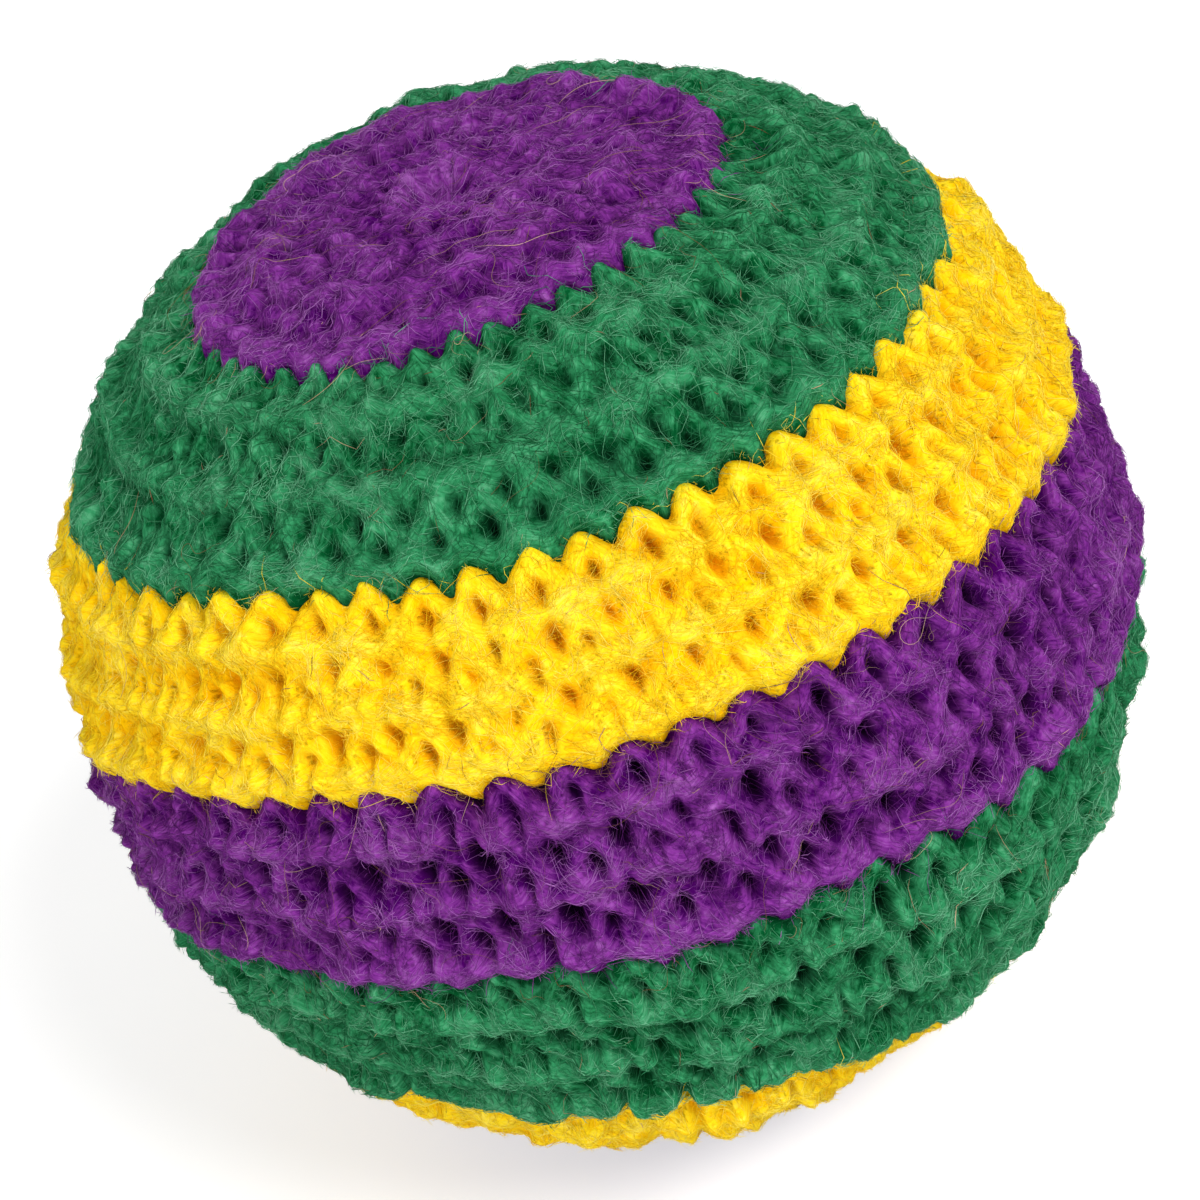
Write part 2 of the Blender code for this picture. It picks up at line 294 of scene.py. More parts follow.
def make_rounds():
    """The rounds of each length of wool, from the start of the work down."""
    rng = np.random.default_rng(SEED)
    every = [stitches for _, _, counts in WOOL_LENGTHS for stitches in counts]
    following = every[1:] + every[-1:]
    top = math.pi / 2
    order = 0
    lengths = []
    for (_, _, counts), share in zip(WOOL_LENGTHS, WOOL_HEIGHT_SHARES):
        height = math.pi * share / len(counts)
        own = []
        for stitches in counts:
            toothed = not own and order > 0
            own.append(Round(rng, order, stitches, following[order], top, height, toothed))
            top -= height
            order += 1
        lengths.append(own)
    return lengths


def smooth_noise(values, place):
    """The values at whole places, eased between them, round a closed ring."""
    low = np.floor(place).astype(int)
    part = place - low
    ease = part * part * (3 - 2 * part)
    count = len(values)
    return values[low % count] * (1 - ease) + values[(low + 1) % count] * ease


class Relief:
    """How high the fabric of one length stands at each cell, and which way its yarn runs."""

    def __init__(self, own, open_share):
        margin = OVERLAP_SHARE * own[0].height
        bottom = own[-1].top - own[-1].height
        first = math.floor((math.pi / 2 - own[0].top - margin) / CELL)
        last = math.ceil((math.pi / 2 - bottom + margin) / CELL)
        self.first, self.last = max(first, 0), min(last, ROWS)
        rows = np.arange(self.first, self.last)
        self.latitude = math.pi / 2 - (rows + 0.5) * CELL
        self.longitude = np.arange(COLUMNS) * CELL
        lat, lon = np.meshgrid(self.latitude, self.longitude, indexing="ij")
        outside = np.maximum(np.maximum(lat - own[0].top, bottom - lat), 0.0)
        noise = uneven(direction(lon, lat), LUMP_WAVES)
        base = BALL_RADIUS - HOLE_SINK + HOLE_BUMP * noise - OVERLAP_SLOPE * outside * BALL_RADIUS
        self.best = base.copy()
        self.heading = np.zeros(lat.shape)
        self.fibre = np.zeros((*lat.shape, 3))
        self.strand = np.zeros(lat.shape, int)
        self.level = np.exp((base - BALL_RADIUS) / BLEND)
        for this in own:
            self.add_round(this)
        self.add_tongues(own[-1])
        tufts = TUFT * uneven(direction(lon, lat), TUFT_WAVES)
        self.radius = BALL_RADIUS + BLEND * np.log(self.level) + tufts
        for this in own:
            self.add_holes(this, BETWEEN_HOLE, open_share * (NOTCH_SHARE if this.toothed else 1.0))
            self.add_holes(this, INSIDE_HOLE, open_share)
        self.radius = np.maximum(self.radius, BALL_RADIUS - DEEPEST_SINK)
        self.seam = self.find_seams()

    def find_seams(self):
        """Marks the cells beside which another strand starts."""
        seam = np.zeros(self.strand.shape, bool)
        for axis in (0, 1):
            for step in (-1, 1):
                seam |= self.strand != np.roll(self.strand, step, axis)
        return seam * 1.0

    def add_round(self, this):
        share = (this.top - self.latitude) / this.height
        near = np.flatnonzero((share > STRAND_REACH[0]) & (share < STRAND_REACH[1]))
        share = share[near][:, None]
        cosine = np.maximum(np.cos(self.latitude[near]), CELL)[:, None]
        pitch = 2 * math.pi * BALL_RADIUS * cosine / this.stitches
        tall = this.height * BALL_RADIUS
        place = self.longitude[None, :] * this.stitches / (2 * math.pi)
        stitch = np.floor(place).astype(int)
        for offset in (-1, 0, 1):
            here = stitch + offset
            ends = ((this.apex(here), this.foot(here)), (this.apex(here + 1), this.foot(here)))
            for side, (top, low) in enumerate(ends):
                self.add_leg(this, near, here, side, top, low, (place, share), (pitch, tall))
        self.add_ridge(this, near, share, tall)

    def add_leg(self, this, near, stitch, side, top, low, spot, scale):
        (place, share), (pitch, tall) = spot, scale
        x0, y0 = (top[0] - place) * pitch, (share - top[1]) * tall
        x1, y1 = (low[0] - place) * pitch, (share - low[1]) * tall
        across, down = x1 - x0, y1 - y0
        length = np.sqrt(across**2 + down**2)
        part = np.clip(-(x0 * across + y0 * down) / length**2, 0, 1)
        dx, dy = x0 + part * across, y0 + part * down
        index = stitch % this.stitches
        crowding = np.minimum(1.0, pitch / (2.0 * LEG_WIDTH))
        taper = 1 - TOOTH_TAPER_SHARE * this.toothed * (1 - part) ** 2
        half = LEG_WIDTH / 2 * this.leg_wide[index] * crowding * taper
        sink = LEG_SINK + APEX_SINK * (1 - part) ** 2 + FOOT_SINK * part**3 + this.leg_deep[index]
        height = BALL_RADIUS - sink - STRAND_CURVE * half * (dx**2 + dy**2) / half**2
        signed = (dx * down - dy * across) / length
        strand = 1 + 2 * stitch + side + this.order * COLUMNS
        fibre = (part * length / MM, signed / MM, STREAK_STEP * (strand % STREAK_REPEAT))
        self.lay(near, height, np.arctan2(-down, across), fibre, strand)

    def add_ridge(self, this, near, share, tall):
        place = self.longitude[None, :] * this.following / (2 * math.pi)
        wave = np.cos(2 * math.pi * place)
        middle = RIDGE_SHARE - DROOP_SHARE * wave + smooth_noise(this.ridge_down, place)
        half = RIDGE_WIDTH / 2 * smooth_noise(this.ridge_wide, place)
        away = (middle - share) * tall
        sink = RIDGE_SINK - RIDGE_SWELL * wave + smooth_noise(this.ridge_deep, place)
        height = BALL_RADIUS - sink - STRAND_CURVE * away**2 / half
        reach = self.longitude[None, :] * BALL_RADIUS * math.cos(this.top - this.height / 2)
        slope = RIDGE_SLOPE * np.sin(2 * math.pi * place)
        fibre = (reach / MM, away / MM, RIDGE_STREAKS)
        self.lay(near, height, slope, fibre, this.order * COLUMNS)

    def add_tongues(self, this):
        """Short ends of the last round, one above each notch of the round that follows."""
        share = (this.top - self.latitude) / this.height
        near = np.flatnonzero(share > TONGUE_ENDS[0] - 0.5)
        share = share[near][:, None]
        pitch = 2 * math.pi * BALL_RADIUS * np.cos(self.latitude[near])[:, None] / this.following
        place = self.longitude[None, :] * this.following / (2 * math.pi) - 0.5
        stitch = np.round(place).astype(int)
        aside = (place - stitch) * pitch
        down = (share - np.clip(share, *TONGUE_ENDS)) * this.height * BALL_RADIUS
        half = TONGUE_WIDTH / 2 * np.minimum(1.0, pitch / ROOMY_PITCH)
        height = BALL_RADIUS - TONGUE_SINK - STRAND_CURVE * (aside**2 + down**2) / half
        strand = 2 + 2 * stitch + (this.order + 1) * COLUMNS
        along = share * this.height * BALL_RADIUS
        fibre = (along / MM, aside / MM, STREAK_STEP * (strand % STREAK_REPEAT))
        self.lay(near, height, -math.pi / 2, fibre, strand)

    def add_holes(self, this, hole, depth_share):
        """Presses a hole into each stitch, long, slanting, and steep at its edge."""
        share = (this.top - self.latitude) / this.height
        near = np.flatnonzero(np.abs(share - hole["down"]) < HOLE_REACH)
        share = share[near][:, None]
        pitch = 2 * math.pi * BALL_RADIUS * np.cos(self.latitude[near])[:, None] / this.stitches
        place = self.longitude[None, :] * this.stitches / (2 * math.pi) - hole["along"]
        stitch = np.round(place).astype(int)
        index = stitch % this.stitches
        down = (share - hole["down"] - this.hole_down[index]) * this.height * BALL_RADIUS
        aside = (place - stitch - this.hole_aside[index]) * pitch - HOLE_SLANT * down
        size = this.hole_size[index] * np.minimum(1.0, pitch / ROOMY_PITCH)
        away = (aside / hole["wide"]) ** 2 + (down / hole["tall"]) ** 2
        lower = 1 + HOLE_LOWERING * np.clip(down / hole["tall"], -1, 1)
        deep = hole["deep"] * depth_share * size * lower
        self.radius[near] -= deep / (1 + (away / size**2) ** 2)

    def lay(self, near, height, heading, fibre, strand):
        """Adds a strand where it stands over what is there, with a soft crease between them."""
        self.level[near] += np.exp((height - BALL_RADIUS) / BLEND)
        over = height > self.best[near]
        self.best[near] = np.where(over, height, self.best[near])
        self.heading[near] = np.where(over, heading, self.heading[near])
        self.strand[near] = np.where(over, strand, self.strand[near])
        for axis, values in enumerate(fibre):
            self.fibre[near, :, axis] = np.where(over, values, self.fibre[near, :, axis])


class Surface:
    """The whole cover on one grid: its height, sharp and smoothed twice, and how its yarn runs."""

    def __init__(self, reliefs):
        self.height = np.full((ROWS, COLUMNS), BALL_RADIUS - INNER_SINK)
        self.heading = np.zeros((ROWS, COLUMNS))
        self.owner = np.zeros((ROWS, COLUMNS), int)
        for order, relief in enumerate(reliefs):
            rows = slice(relief.first, relief.last)
            over = relief.radius > self.height[rows]
            self.height[rows] = np.where(over, relief.radius, self.height[rows])
            self.heading[rows] = np.where(over, relief.heading, self.heading[rows])
            self.owner[rows] = np.where(over, order, self.owner[rows])
        self.smooth = self.blurred(self.height, BLUR)
        self.broad = self.blurred(self.blurred(self.smooth, BLUR + 1), BLUR)

    def blurred(self, height, reach):
        padded = np.pad(height, ((reach, reach), (0, 0)), mode="edge")
        rows = sum(padded[k : k + ROWS] for k in range(2 * reach + 1))
        columns = sum(np.roll(rows, k, 1) for k in range(-reach, reach + 1))
        return columns / (2 * reach + 1) ** 2

    def look_up(self, table, longitude, latitude):
        row = np.clip((math.pi / 2 - latitude) / CELL - 0.5, 0, ROWS - 1.001)
        column = (longitude / CELL) % COLUMNS
        low, left = np.floor(row).astype(int), np.floor(column).astype(int) % COLUMNS
        down, aside = row - low, column - np.floor(column)
        right = (left + 1) % COLUMNS
        upper = table[low, left] * (1 - aside) + table[low, right] * aside
        lower = table[low + 1, left] * (1 - aside) + table[low + 1, right] * aside
        return upper * (1 - down) + lower * down

    def sharp_at(self, longitude, latitude):
        return self.look_up(self.height, longitude, latitude)

    def smooth_at(self, longitude, latitude):
        return self.look_up(self.smooth, longitude, latitude)

    def broad_at(self, longitude, latitude):
        return self.look_up(self.broad, longitude, latitude)

    def owned(self, order, longitude, latitude):
        """Which places lie on this length."""
        row = np.clip((math.pi / 2 - latitude) / CELL, 0, ROWS - 1).astype(int)
        column = np.floor(longitude / CELL).astype(int) % COLUMNS
        return self.owner[row, column] == order

    def roots(self, rng, order, count):
        """Random cells of one length, the more likely the higher they stand."""
        latitude = math.pi / 2 - (np.arange(ROWS) + 0.5) * CELL
        raised = (self.height - BALL_RADIUS + HOLE_SINK) / HOLE_SINK
        chance = np.clip(raised, HOLE_CHANCE, 1) * np.cos(latitude)[:, None] * (self.owner == order)
        chance = chance.ravel() / chance.sum()
        cells = rng.choice(ROWS * COLUMNS, count, p=chance)
        row, column = np.divmod(cells, COLUMNS)
        longitude = (column + rng.uniform(-0.5, 0.5, count)) * CELL
        latitude = math.pi / 2 - (row + rng.uniform(0, 1, count)) * CELL
        return longitude, latitude, self.heading[row, column]


# Meshes


def placed(name, data):
    """Adds an object with this data to the scene."""
    item = bpy.data.objects.new(name, data)
    bpy.context.scene.collection.objects.link(item)
    return item


def mesh_piece(name, points, corners, sides, uv, material, values=(), vectors=()):
    """A piece from its points and, face by face, the corners that bound each one."""
    mesh = bpy.data.meshes.new(name)
    mesh.vertices.add(len(points))
    mesh.vertices.foreach_set("co", points.astype(np.float32).ravel())
    mesh.loops.add(len(corners))
    mesh.loops.foreach_set("vertex_index", corners.astype(np.int32))
    mesh.polygons.add(len(sides))
    mesh.polygons.foreach_set("loop_start", (np.cumsum(sides) - sides).astype(np.int32))
    mesh.update(calc_edges=True)
    for label, numbers in values:
        held = mesh.attributes.new(label, "FLOAT", "POINT")
        held.data.foreach_set("value", numbers.astype(np.float32).ravel())
    for label, numbers in vectors:
        held = mesh.attributes.new(label, "FLOAT_VECTOR", "POINT")
        held.data.foreach_set("vector", numbers.astype(np.float32).ravel())
    mesh.uv_layers.new(name=MAP).data.foreach_set("uv", uv.astype(np.float32).ravel())
    mesh.shade_smooth()
    mesh.materials.append(material)
    piece = placed(name, mesh)
    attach(piece, "root")
    return piece


def strip_map(segments, sides):
    """Lays a long strip of faces, segments long and sides wide, in rows of a square map."""
    rows = max(1, round(math.sqrt(segments / sides)))
    across = math.ceil(segments / rows)
    margin = 0.04
    place = np.arange(segments)
    left = (place % across) / across
    low = (place // across + margin) / rows
    step = (1 - 2 * margin) / sides / rows
    x = np.broadcast_to(left[:, None], (segments, sides))
    y = low[:, None] + step * np.arange(sides)[None, :]
    wide = 1 / across
    corners = ((0, 0), (0, step), (wide, step), (wide, 0))
    return np.stack([np.stack((x + dx, y + dy), -1) for dx, dy in corners], 2).reshape(-1, 2)


def joined(parts):
    """Several bodies as one: each has its points, corners, sides, and map, which gets a strip."""
    points, corners, sides, maps = [], [], [], []
    first = 0
    for order, (own, bounds, faces, uv) in enumerate(parts):
        points.append(own)
        corners.append(bounds + first)
        sides.append(faces)
        maps.append((uv + (0, order)) / (1, len(parts)))
        first += len(own)
    return [np.concatenate(arrays) for arrays in (points, corners, sides, maps)]


def band_faces(columns, around):
    """The corners of the faces of a band that closes on itself both ways."""
    here = np.arange(columns)[:, None] * around
    there = (np.arange(columns)[:, None] + 1) % columns * around
    low = np.arange(around)[None, :]
    high = (low + 1) % around
    return np.stack((here + low, here + high, there + high, there + low), -1).ravel()


def band_piece(name, points, material, **held):
    """A closed band from its points, column by column round it."""
    columns, around = points.shape[:2]
    corners = band_faces(columns, around)
    sides = np.full(columns * around, 4)
    uv = strip_map(columns, around)
    return mesh_piece(name, points.reshape(-1, 3), corners, sides, uv, material, **held)


def shell_piece(name, relief, material):
    """One length of wool as a closed band: its stitches outside, a plain wall inside."""
    aside = 1
    widest = math.cos(relief.latitude[np.argmin(np.abs(relief.latitude))])
    while widest * aside < NARROWEST_CELL:
        aside *= 2
    columns = COLUMNS // aside
    outer = relief.radius[:, ::aside].T
    lat = np.broadcast_to(relief.latitude, outer.shape)
    last = len(relief.latitude) - 1
    inner_rows = np.unique(np.append(np.arange(0, last + 1, INNER_STEP), last))
    inner_lat = np.broadcast_to(relief.latitude[inner_rows[::-1]], (columns, len(inner_rows)))
    inner = np.full(inner_lat.shape, BALL_RADIUS - INNER_SINK)
    lon = relief.longitude[::aside][:, None]
    points = on_ball(lon, np.concatenate((lat, inner_lat), 1), np.concatenate((outer, inner), 1))
    fibre = np.zeros(points.shape)
    fibre[:, : lat.shape[1]] = relief.fibre[:, ::aside].transpose(1, 0, 2)
    depth, seam = np.ones(points.shape[:2]), np.ones(points.shape[:2])
    depth[:, : lat.shape[1]] = (BALL_RADIUS - outer) / HOLE_SINK
    seam[:, : lat.shape[1]] = relief.seam[:, ::aside].T
    values = [("depth", depth), ("seam", seam)]
    return band_piece(name, points, material, values=values, vectors=[("fibre", fibre)])


# Fibres

# Each kind of fibre: how many there are on a square millimetre, or for the fringe on a
# millimetre of its edge, how thick they are, the share that is tan, how far they lean with their
# tuft, how their headings spread, their shortest and longest length in millimetres, how far they
# bend and wiggle, how many points a line has, and the share that stays where a line runs out
# over another length
LAID = dict(
    count=9.3 / MM**2, thick=0.036 * MM, tan=0.005, lean=0.6, spread=0.3, length=(0.5, 1.7),
    bend=0.5, wiggle=0.3, points=4, away=0.12,
)
NAP = dict(LAID, count=7.0 / MM**2, thick=0.026 * MM, tan=0.0, spread=0.6)
MATTED = dict(
    count=2.2 / MM**2, thick=0.026 * MM, lean=0.7, spread=0.5, length=(1.4, 4.0),
    bend=0.9, wiggle=0.7, points=7, away=0.1,
)
RAISED = dict(
    count=6.5 / MM**2, thick=0.03 * MM, tan=0.01, lean=1.3, spread=0.5, length=(0.25, 0.75),
    bend=0.9, wiggle=0.4, points=4, away=0.0,
)
FRINGE = dict(
    count=26 / MM, thick=0.017 * MM, tan=0.0, lean=0.7, spread=1.3, length=(0.12, 0.42),
    bend=1.4, wiggle=0.3, points=4,
)
STRAY = dict(thick=0.022 * MM, tan=0.9, length=(2.5, 7.0), bend=2.8, wiggle=0.7, points=26)
BORDER = dict(thick=0.02 * MM, tan=0.9, bend=3.0, wiggle=0.6, points=15)
STRAY_COUNTS = {"purple": 0.06 / MM**2, "green": 0.01 / MM**2, "yellow": 0.004 / MM**2}
MATTED_TANS = {"purple": 0.02, "green": 0.01, "yellow": 0.0}
# How many curly hairs there are in each notch above the first round of a wool, and the middle
# and spread of their lengths as powers of e in millimetres
BORDER_HAIRS = {"purple": 8, "green": 2, "yellow": 1}
BORDER_LENGTH = (0.35, 0.45)

# How high the fibres lie over the yarn, and how far their ends work loose, in millimetres
LAID_RISE = 0.09
LAID_LOOSE = 0.1
MATTED_RISE = (0.02, 0.18)
FRINGE_RISE = 0.1
STRAY_LIFT = 0.15
STRAY_ARCH = (0.1, 0.5)
BORDER_RISE = (0.05, 0.3)
# The part of an arch that a laid fibre follows, and where a matted one starts on its own
LAID_ARCH = (0.15, 0.7)
MATTED_START = 0.1
# How much of the way over a hole a matted fibre bridges, and how steeply raised ends stand up
MATTED_BRIDGE = (0.1, 0.9)
RAISED_SLOPE = (0.05, 0.5)
RAISED_FALL = 0.35

# Where the fringe and the hairs of a border start
FRINGE_INSET = math.radians(0.3)
FRINGE_BAND = 0.35 * MM
NOTCH_WIDTH = 0.5 * MM
NOTCH_TOP = -0.1 * MM
NOTCH_TALL = 0.4 * MM

# How many radians of wiggle a line has at least, how many more it can have, and how soon that
# changes round the ball
WIGGLE_RATE = 3
WIGGLE_EXTRA = 6
WIGGLE_CHANGE = 37
# How much of a fibre's tone is its own: the rest is painted shade and light, darker the lower it lies,
# held within these ends of its height level
SHADE_SPREAD = 0.68
PAINTED_SHADE_ENDS = (-0.5, 1.5)
# How far whole tufts are lighter or darker than their neighbours, and how much thinner or
# thicker one fibre is than another
CLUMP_SHADE = 0.21
THICKNESS_SPREAD = (0.5, 1.25)


def shell_faces(rings):
    """The corners of the faces of one fibre, and how many corners each face has."""
    last = 1 + 3 * (rings - 1)
    tip = last + 3
    start, middle, end = [], [], []
    for j, k in ((0, 1), (1, 2), (2, 0)):
        start += [0, 1 + k, 1 + j]
        end += [last + j, last + k, tip]
    for here in range(1, last, 3):
        there = here + 3
        for j, k in ((0, 1), (1, 2), (2, 0)):
            middle += [here + j, here + k, there + k, there + j]
    return np.array(start + middle + end), [3] * 3 + [4] * 3 * (rings - 1) + [3] * 3


def shell_map(count, rings, corners):
    """Gives each fibre its own cell of a square map."""
    across = np.concatenate(([0.5], np.tile((0.1, 0.5, 0.9), rings), [0.5]))
    up = np.concatenate(([0.05], np.repeat(np.linspace(0.2, 0.8, rings), 3), [0.95]))
    cells = math.ceil(math.sqrt(count))
    row, column = np.divmod(np.arange(count), cells)
    x = (column[:, None] + across[corners][None, :]) / cells
    y = (row[:, None] + up[corners][None, :]) / cells
    return np.stack((x, y), -1).reshape(-1, 2)


def fibre_shells(lines, thickness):
    """Thin closed bodies along lines of points, three-sided and pointed at both ends."""
    count, steps = lines.shape[:2]
    along = unit(np.gradient(lines, axis=1))
    out = unit(lines - CENTRE)
    side = unit(np.cross(along, out) + 1e-9)
    out = np.cross(side, along)
    turn = 2 * math.pi * np.arange(3) / 3
    around = np.cos(turn)[:, None] * out[:, 1:-1, None] + np.sin(turn)[:, None] * side[:, 1:-1, None]
    taper = np.sqrt(np.sin(math.pi * np.arange(1, steps - 1) / (steps - 1)))
    size = thickness[:, None, None, None] / 2 * taper[None, :, None, None]
    middle = (lines[:, 1:-1, None] + size * around).reshape(count, -1, 3)
    points = np.concatenate((lines[:, :1], middle, lines[:, -1:]), 1)
    each = points.shape[1]
    corners, sides = shell_faces(steps - 2)
    uv = shell_map(count, steps - 2, corners)
    every = np.arange(count)[:, None] * each + corners[None, :]
    return points.reshape(-1, 3), every.ravel(), np.tile(sides, count), uv, each


def over_ball(longitude, latitude, heading, length, steps, bend, wiggle):
    """Longitudes and latitudes of paths over the ball whose heading turns as they go."""
    part = np.linspace(0, 1, steps)[None, :]
    rate = WIGGLE_RATE + WIGGLE_EXTRA * np.abs(np.sin(WIGGLE_CHANGE * longitude))
    way = heading[:, None] + bend[:, None] * part
    way = way + wiggle[:, None] * np.sin(rate[:, None] * part)
    stride = length[:, None] / (steps - 1) / BALL_RADIUS
    zeros = np.zeros((len(longitude), 1))
    x = np.concatenate((zeros, np.cumsum(np.cos(way[:, 1:]) * stride, 1)), 1)
    y = np.concatenate((zeros, np.cumsum(np.sin(way[:, 1:]) * stride, 1)), 1)
    out = direction(longitude, latitude)
    east = np.stack((-np.sin(longitude), np.cos(longitude), np.zeros(len(longitude))), -1)
    north = np.cross(out, east)
    toward = unit(out[:, None] + x[..., None] * east[:, None] + y[..., None] * north[:, None])
    return np.arctan2(toward[..., 1], toward[..., 0]), np.arcsin(np.clip(toward[..., 2], -1, 1)), part


def combed(longitude, latitude, heading, size):
    """Headings that lean the same way as their neighbours', as tufts do."""
    return heading + size * uneven(direction(longitude, latitude), COMB_WAVES)


def over_cover(longitude, latitude, radius, kept=slice(None)):
    """Lines of points, and how high each one lies: 1 at the ball's outside, 0 down in a hole, with whole
    tufts lighter or darker at random. The fibres take that level as painted shade and light.
    """
    clump = uneven(direction(longitude[:, 0], latitude[:, 0]), CLUMP_WAVES)
    level = 1 + (radius.mean(1) - BALL_RADIUS) / HOLE_SINK + CLUMP_SHADE / (1 - SHADE_SPREAD) * clump
    return on_ball(longitude[kept], latitude[kept], radius[kept]), level[kept]


class Fleece:
    """The fibres of one length of wool, each kind as its lines with their levels."""

    def __init__(self, surface, own, order, wool):
        self.surface, self.own, self.order, self.wool = surface, own, order, wool
        self.rng = np.random.default_rng(SEED + order)
        self.bottom = own[-1].top - own[-1].height
        self.area = 2 * math.pi * BALL_RADIUS**2 * (math.sin(own[0].top) - math.sin(self.bottom))

    def scattered(self, kind):
        """Roots all over the length, with headings along its yarn."""
        lon, lat, heading = self.surface.roots(self.rng, self.order, int(kind["count"] * self.area))
        heading = combed(lon, lat, heading, kind["lean"])
        return lon, lat, heading + self.rng.normal(0, kind["spread"], len(lon))

    def lengths(self, kind, count):
        return self.rng.uniform(*kind["length"], count) * MM

    def paths(self, kind, lon, lat, heading, length):
        bend = self.rng.normal(0, kind["bend"], len(lon))
        wiggle = self.rng.normal(0, kind["wiggle"], len(lon))
        return over_ball(lon, lat, heading, length, kind["points"], bend, wiggle)

    def along_yarn(self, kind):
        """Paths that run either way along the yarn."""
        lon, lat, heading = self.scattered(kind)
        heading = heading + self.rng.choice((0, math.pi), len(heading))
        return self.paths(kind, lon, lat, heading, self.lengths(kind, len(lon)))

    def each(self, ends, lines):
        """A random size for each line, from its ends in millimetres."""
        return self.rng.uniform(*ends, (len(lines), 1)) * MM

    def at_home(self, kind, lon, lat):
        """Which lines end on their own length, and some of those that don't."""
        ends = self.surface.owned(self.order, lon[:, -1], lat[:, -1])
        return ends | (self.rng.uniform(size=len(ends)) < kind["away"])

    def laid(self, kind):
        """Fibres that lie along the yarn."""
        lon, lat, part = self.along_yarn(kind)
        rise = self.each((0.0, LAID_RISE), lon)
        loose = np.abs(self.rng.normal(0, LAID_LOOSE, (len(lon), 1))) * MM
        arch = np.sin(math.pi * (LAID_ARCH[0] + LAID_ARCH[1] * part))
        radius = self.surface.sharp_at(lon, lat) + rise * arch + loose * part**2
        return over_cover(lon, lat, radius, self.at_home(kind, lon, lat))

    def matted(self, kind):
        """Fibres that wander over ridges and holes alike."""
        lon, lat, part = self.along_yarn(kind)
        sharp, smooth = self.surface.sharp_at(lon, lat), self.surface.smooth_at(lon, lat)
        bridge = self.rng.uniform(*MATTED_BRIDGE, (len(lon), 1))
        arch = np.sin(math.pi * np.minimum(part + MATTED_START, 1))
        radius = sharp + np.maximum(smooth - sharp, 0) * bridge + self.each(MATTED_RISE, lon) * arch
        return over_cover(lon, lat, radius, self.at_home(kind, lon, lat))

    def raised(self, kind):
        """Short ends that stand up from the yarn."""
        lon, lat, heading = self.scattered(kind)
        reach = self.lengths(kind, len(lon))
        slope = self.rng.uniform(*RAISED_SLOPE, len(lon))
        base = self.surface.sharp_at(lon, lat)
        lon, lat, part = self.paths(kind, lon, lat, heading, reach * np.cos(slope))
        lift = (reach * np.sin(slope))[:, None] * ((1 + RAISED_FALL) * part - RAISED_FALL * part**2)
        radius = np.maximum(base[:, None] + lift, self.surface.sharp_at(lon, lat))
        return over_cover(lon, lat, radius, self.at_home(kind, lon, lat))

    def fringe(self, kind, latitude, way):
        """Very short ends that stick out over an edge of the length, way up or down."""
        latitude = latitude + FRINGE_INSET
        count = int(kind["count"] * 2 * math.pi * BALL_RADIUS * math.cos(latitude))
        lon = self.rng.uniform(0, 2 * math.pi, count)
        lat = latitude + self.rng.normal(0, FRINGE_BAND, count) / BALL_RADIUS
        kept = self.surface.owned(self.order, lon, lat)
        heading = combed(lon, lat, way * math.pi / 2, kind["lean"])
        heading = heading + self.rng.normal(0, kind["spread"], count)
        lon, lat, part = self.paths(kind, lon, lat, heading, self.lengths(kind, count))
        over = np.maximum(self.surface.sharp_at(lon, lat), self.surface.smooth_at(lon, lat))
        return over_cover(lon, lat, over + self.each((0, FRINGE_RISE), lon) * part, kept)

    def strays(self, kind):
        """Long loose hairs that curl over the surface."""
        count = int(STRAY_COUNTS[self.wool] * self.area)
        lon, lat, _ = self.surface.roots(self.rng, self.order, count)
        heading = self.rng.uniform(0, 2 * math.pi, count)
        length = self.lengths(kind, count)
        bend = self.rng.uniform(-kind["bend"], kind["bend"], count)
        wiggle = self.rng.normal(0, kind["wiggle"], count)
        lon, lat, part = over_ball(lon, lat, heading, length, kind["points"], bend, wiggle)
        lift = self.each(STRAY_ARCH, lon) * np.sin(math.pi * part)
        return over_cover(lon, lat, self.surface.broad_at(lon, lat) + STRAY_LIFT * MM + lift)

    def border(self, kind):
        """Curly hairs drawn up in the notches between the teeth of a new colour."""
        this = self.own[0]
        count = BORDER_HAIRS[self.wool] * this.stitches
        notch = (self.rng.integers(0, this.stitches, count) + 0.5) * 2 * math.pi / this.stitches
        lon = notch + self.rng.normal(0, NOTCH_WIDTH, count) / (BALL_RADIUS * math.cos(this.top))
        lat = this.top + self.rng.normal(NOTCH_TOP, NOTCH_TALL, count) / BALL_RADIUS
        heading = self.rng.uniform(0, 2 * math.pi, count)
        length = np.exp(self.rng.normal(*BORDER_LENGTH, count)) * MM
        lon, lat, _ = self.paths(kind, lon, lat, heading, length)
        smooth, broad = self.surface.smooth_at(lon, lat), self.surface.broad_at(lon, lat)
        bridge = self.rng.uniform(0.0, 1.0, (count, 1))
        radius = smooth * (1 - bridge) + broad * bridge + self.each(BORDER_RISE, lon)
        return over_cover(lon, lat, radius)

    def pieces(self, last):
        """What each piece of fibres holds: its lines, their thickness and their share of tan."""

        def bundle(kind, lines, tan=None):
            return lines, kind["thick"], kind["tan"] if tan is None else tan

        laid, nap = bundle(LAID, self.laid(LAID)), bundle(NAP, self.laid(NAP))
        long = [bundle(MATTED, self.matted(MATTED), MATTED_TANS[self.wool])]
        loose = [bundle(RAISED, self.raised(RAISED))]
        long.append(bundle(STRAY, self.strays(STRAY)))
        if self.order:
            long.append(bundle(BORDER, self.border(BORDER)))
            loose.append(bundle(FRINGE, self.fringe(FRINGE, self.own[0].top, 1)))
        if not last:
            loose.append(bundle(FRINGE, self.fringe(FRINGE, self.bottom, -1)))
        return {"laid": [laid], "nap": [nap], "loose": loose, "long": long}


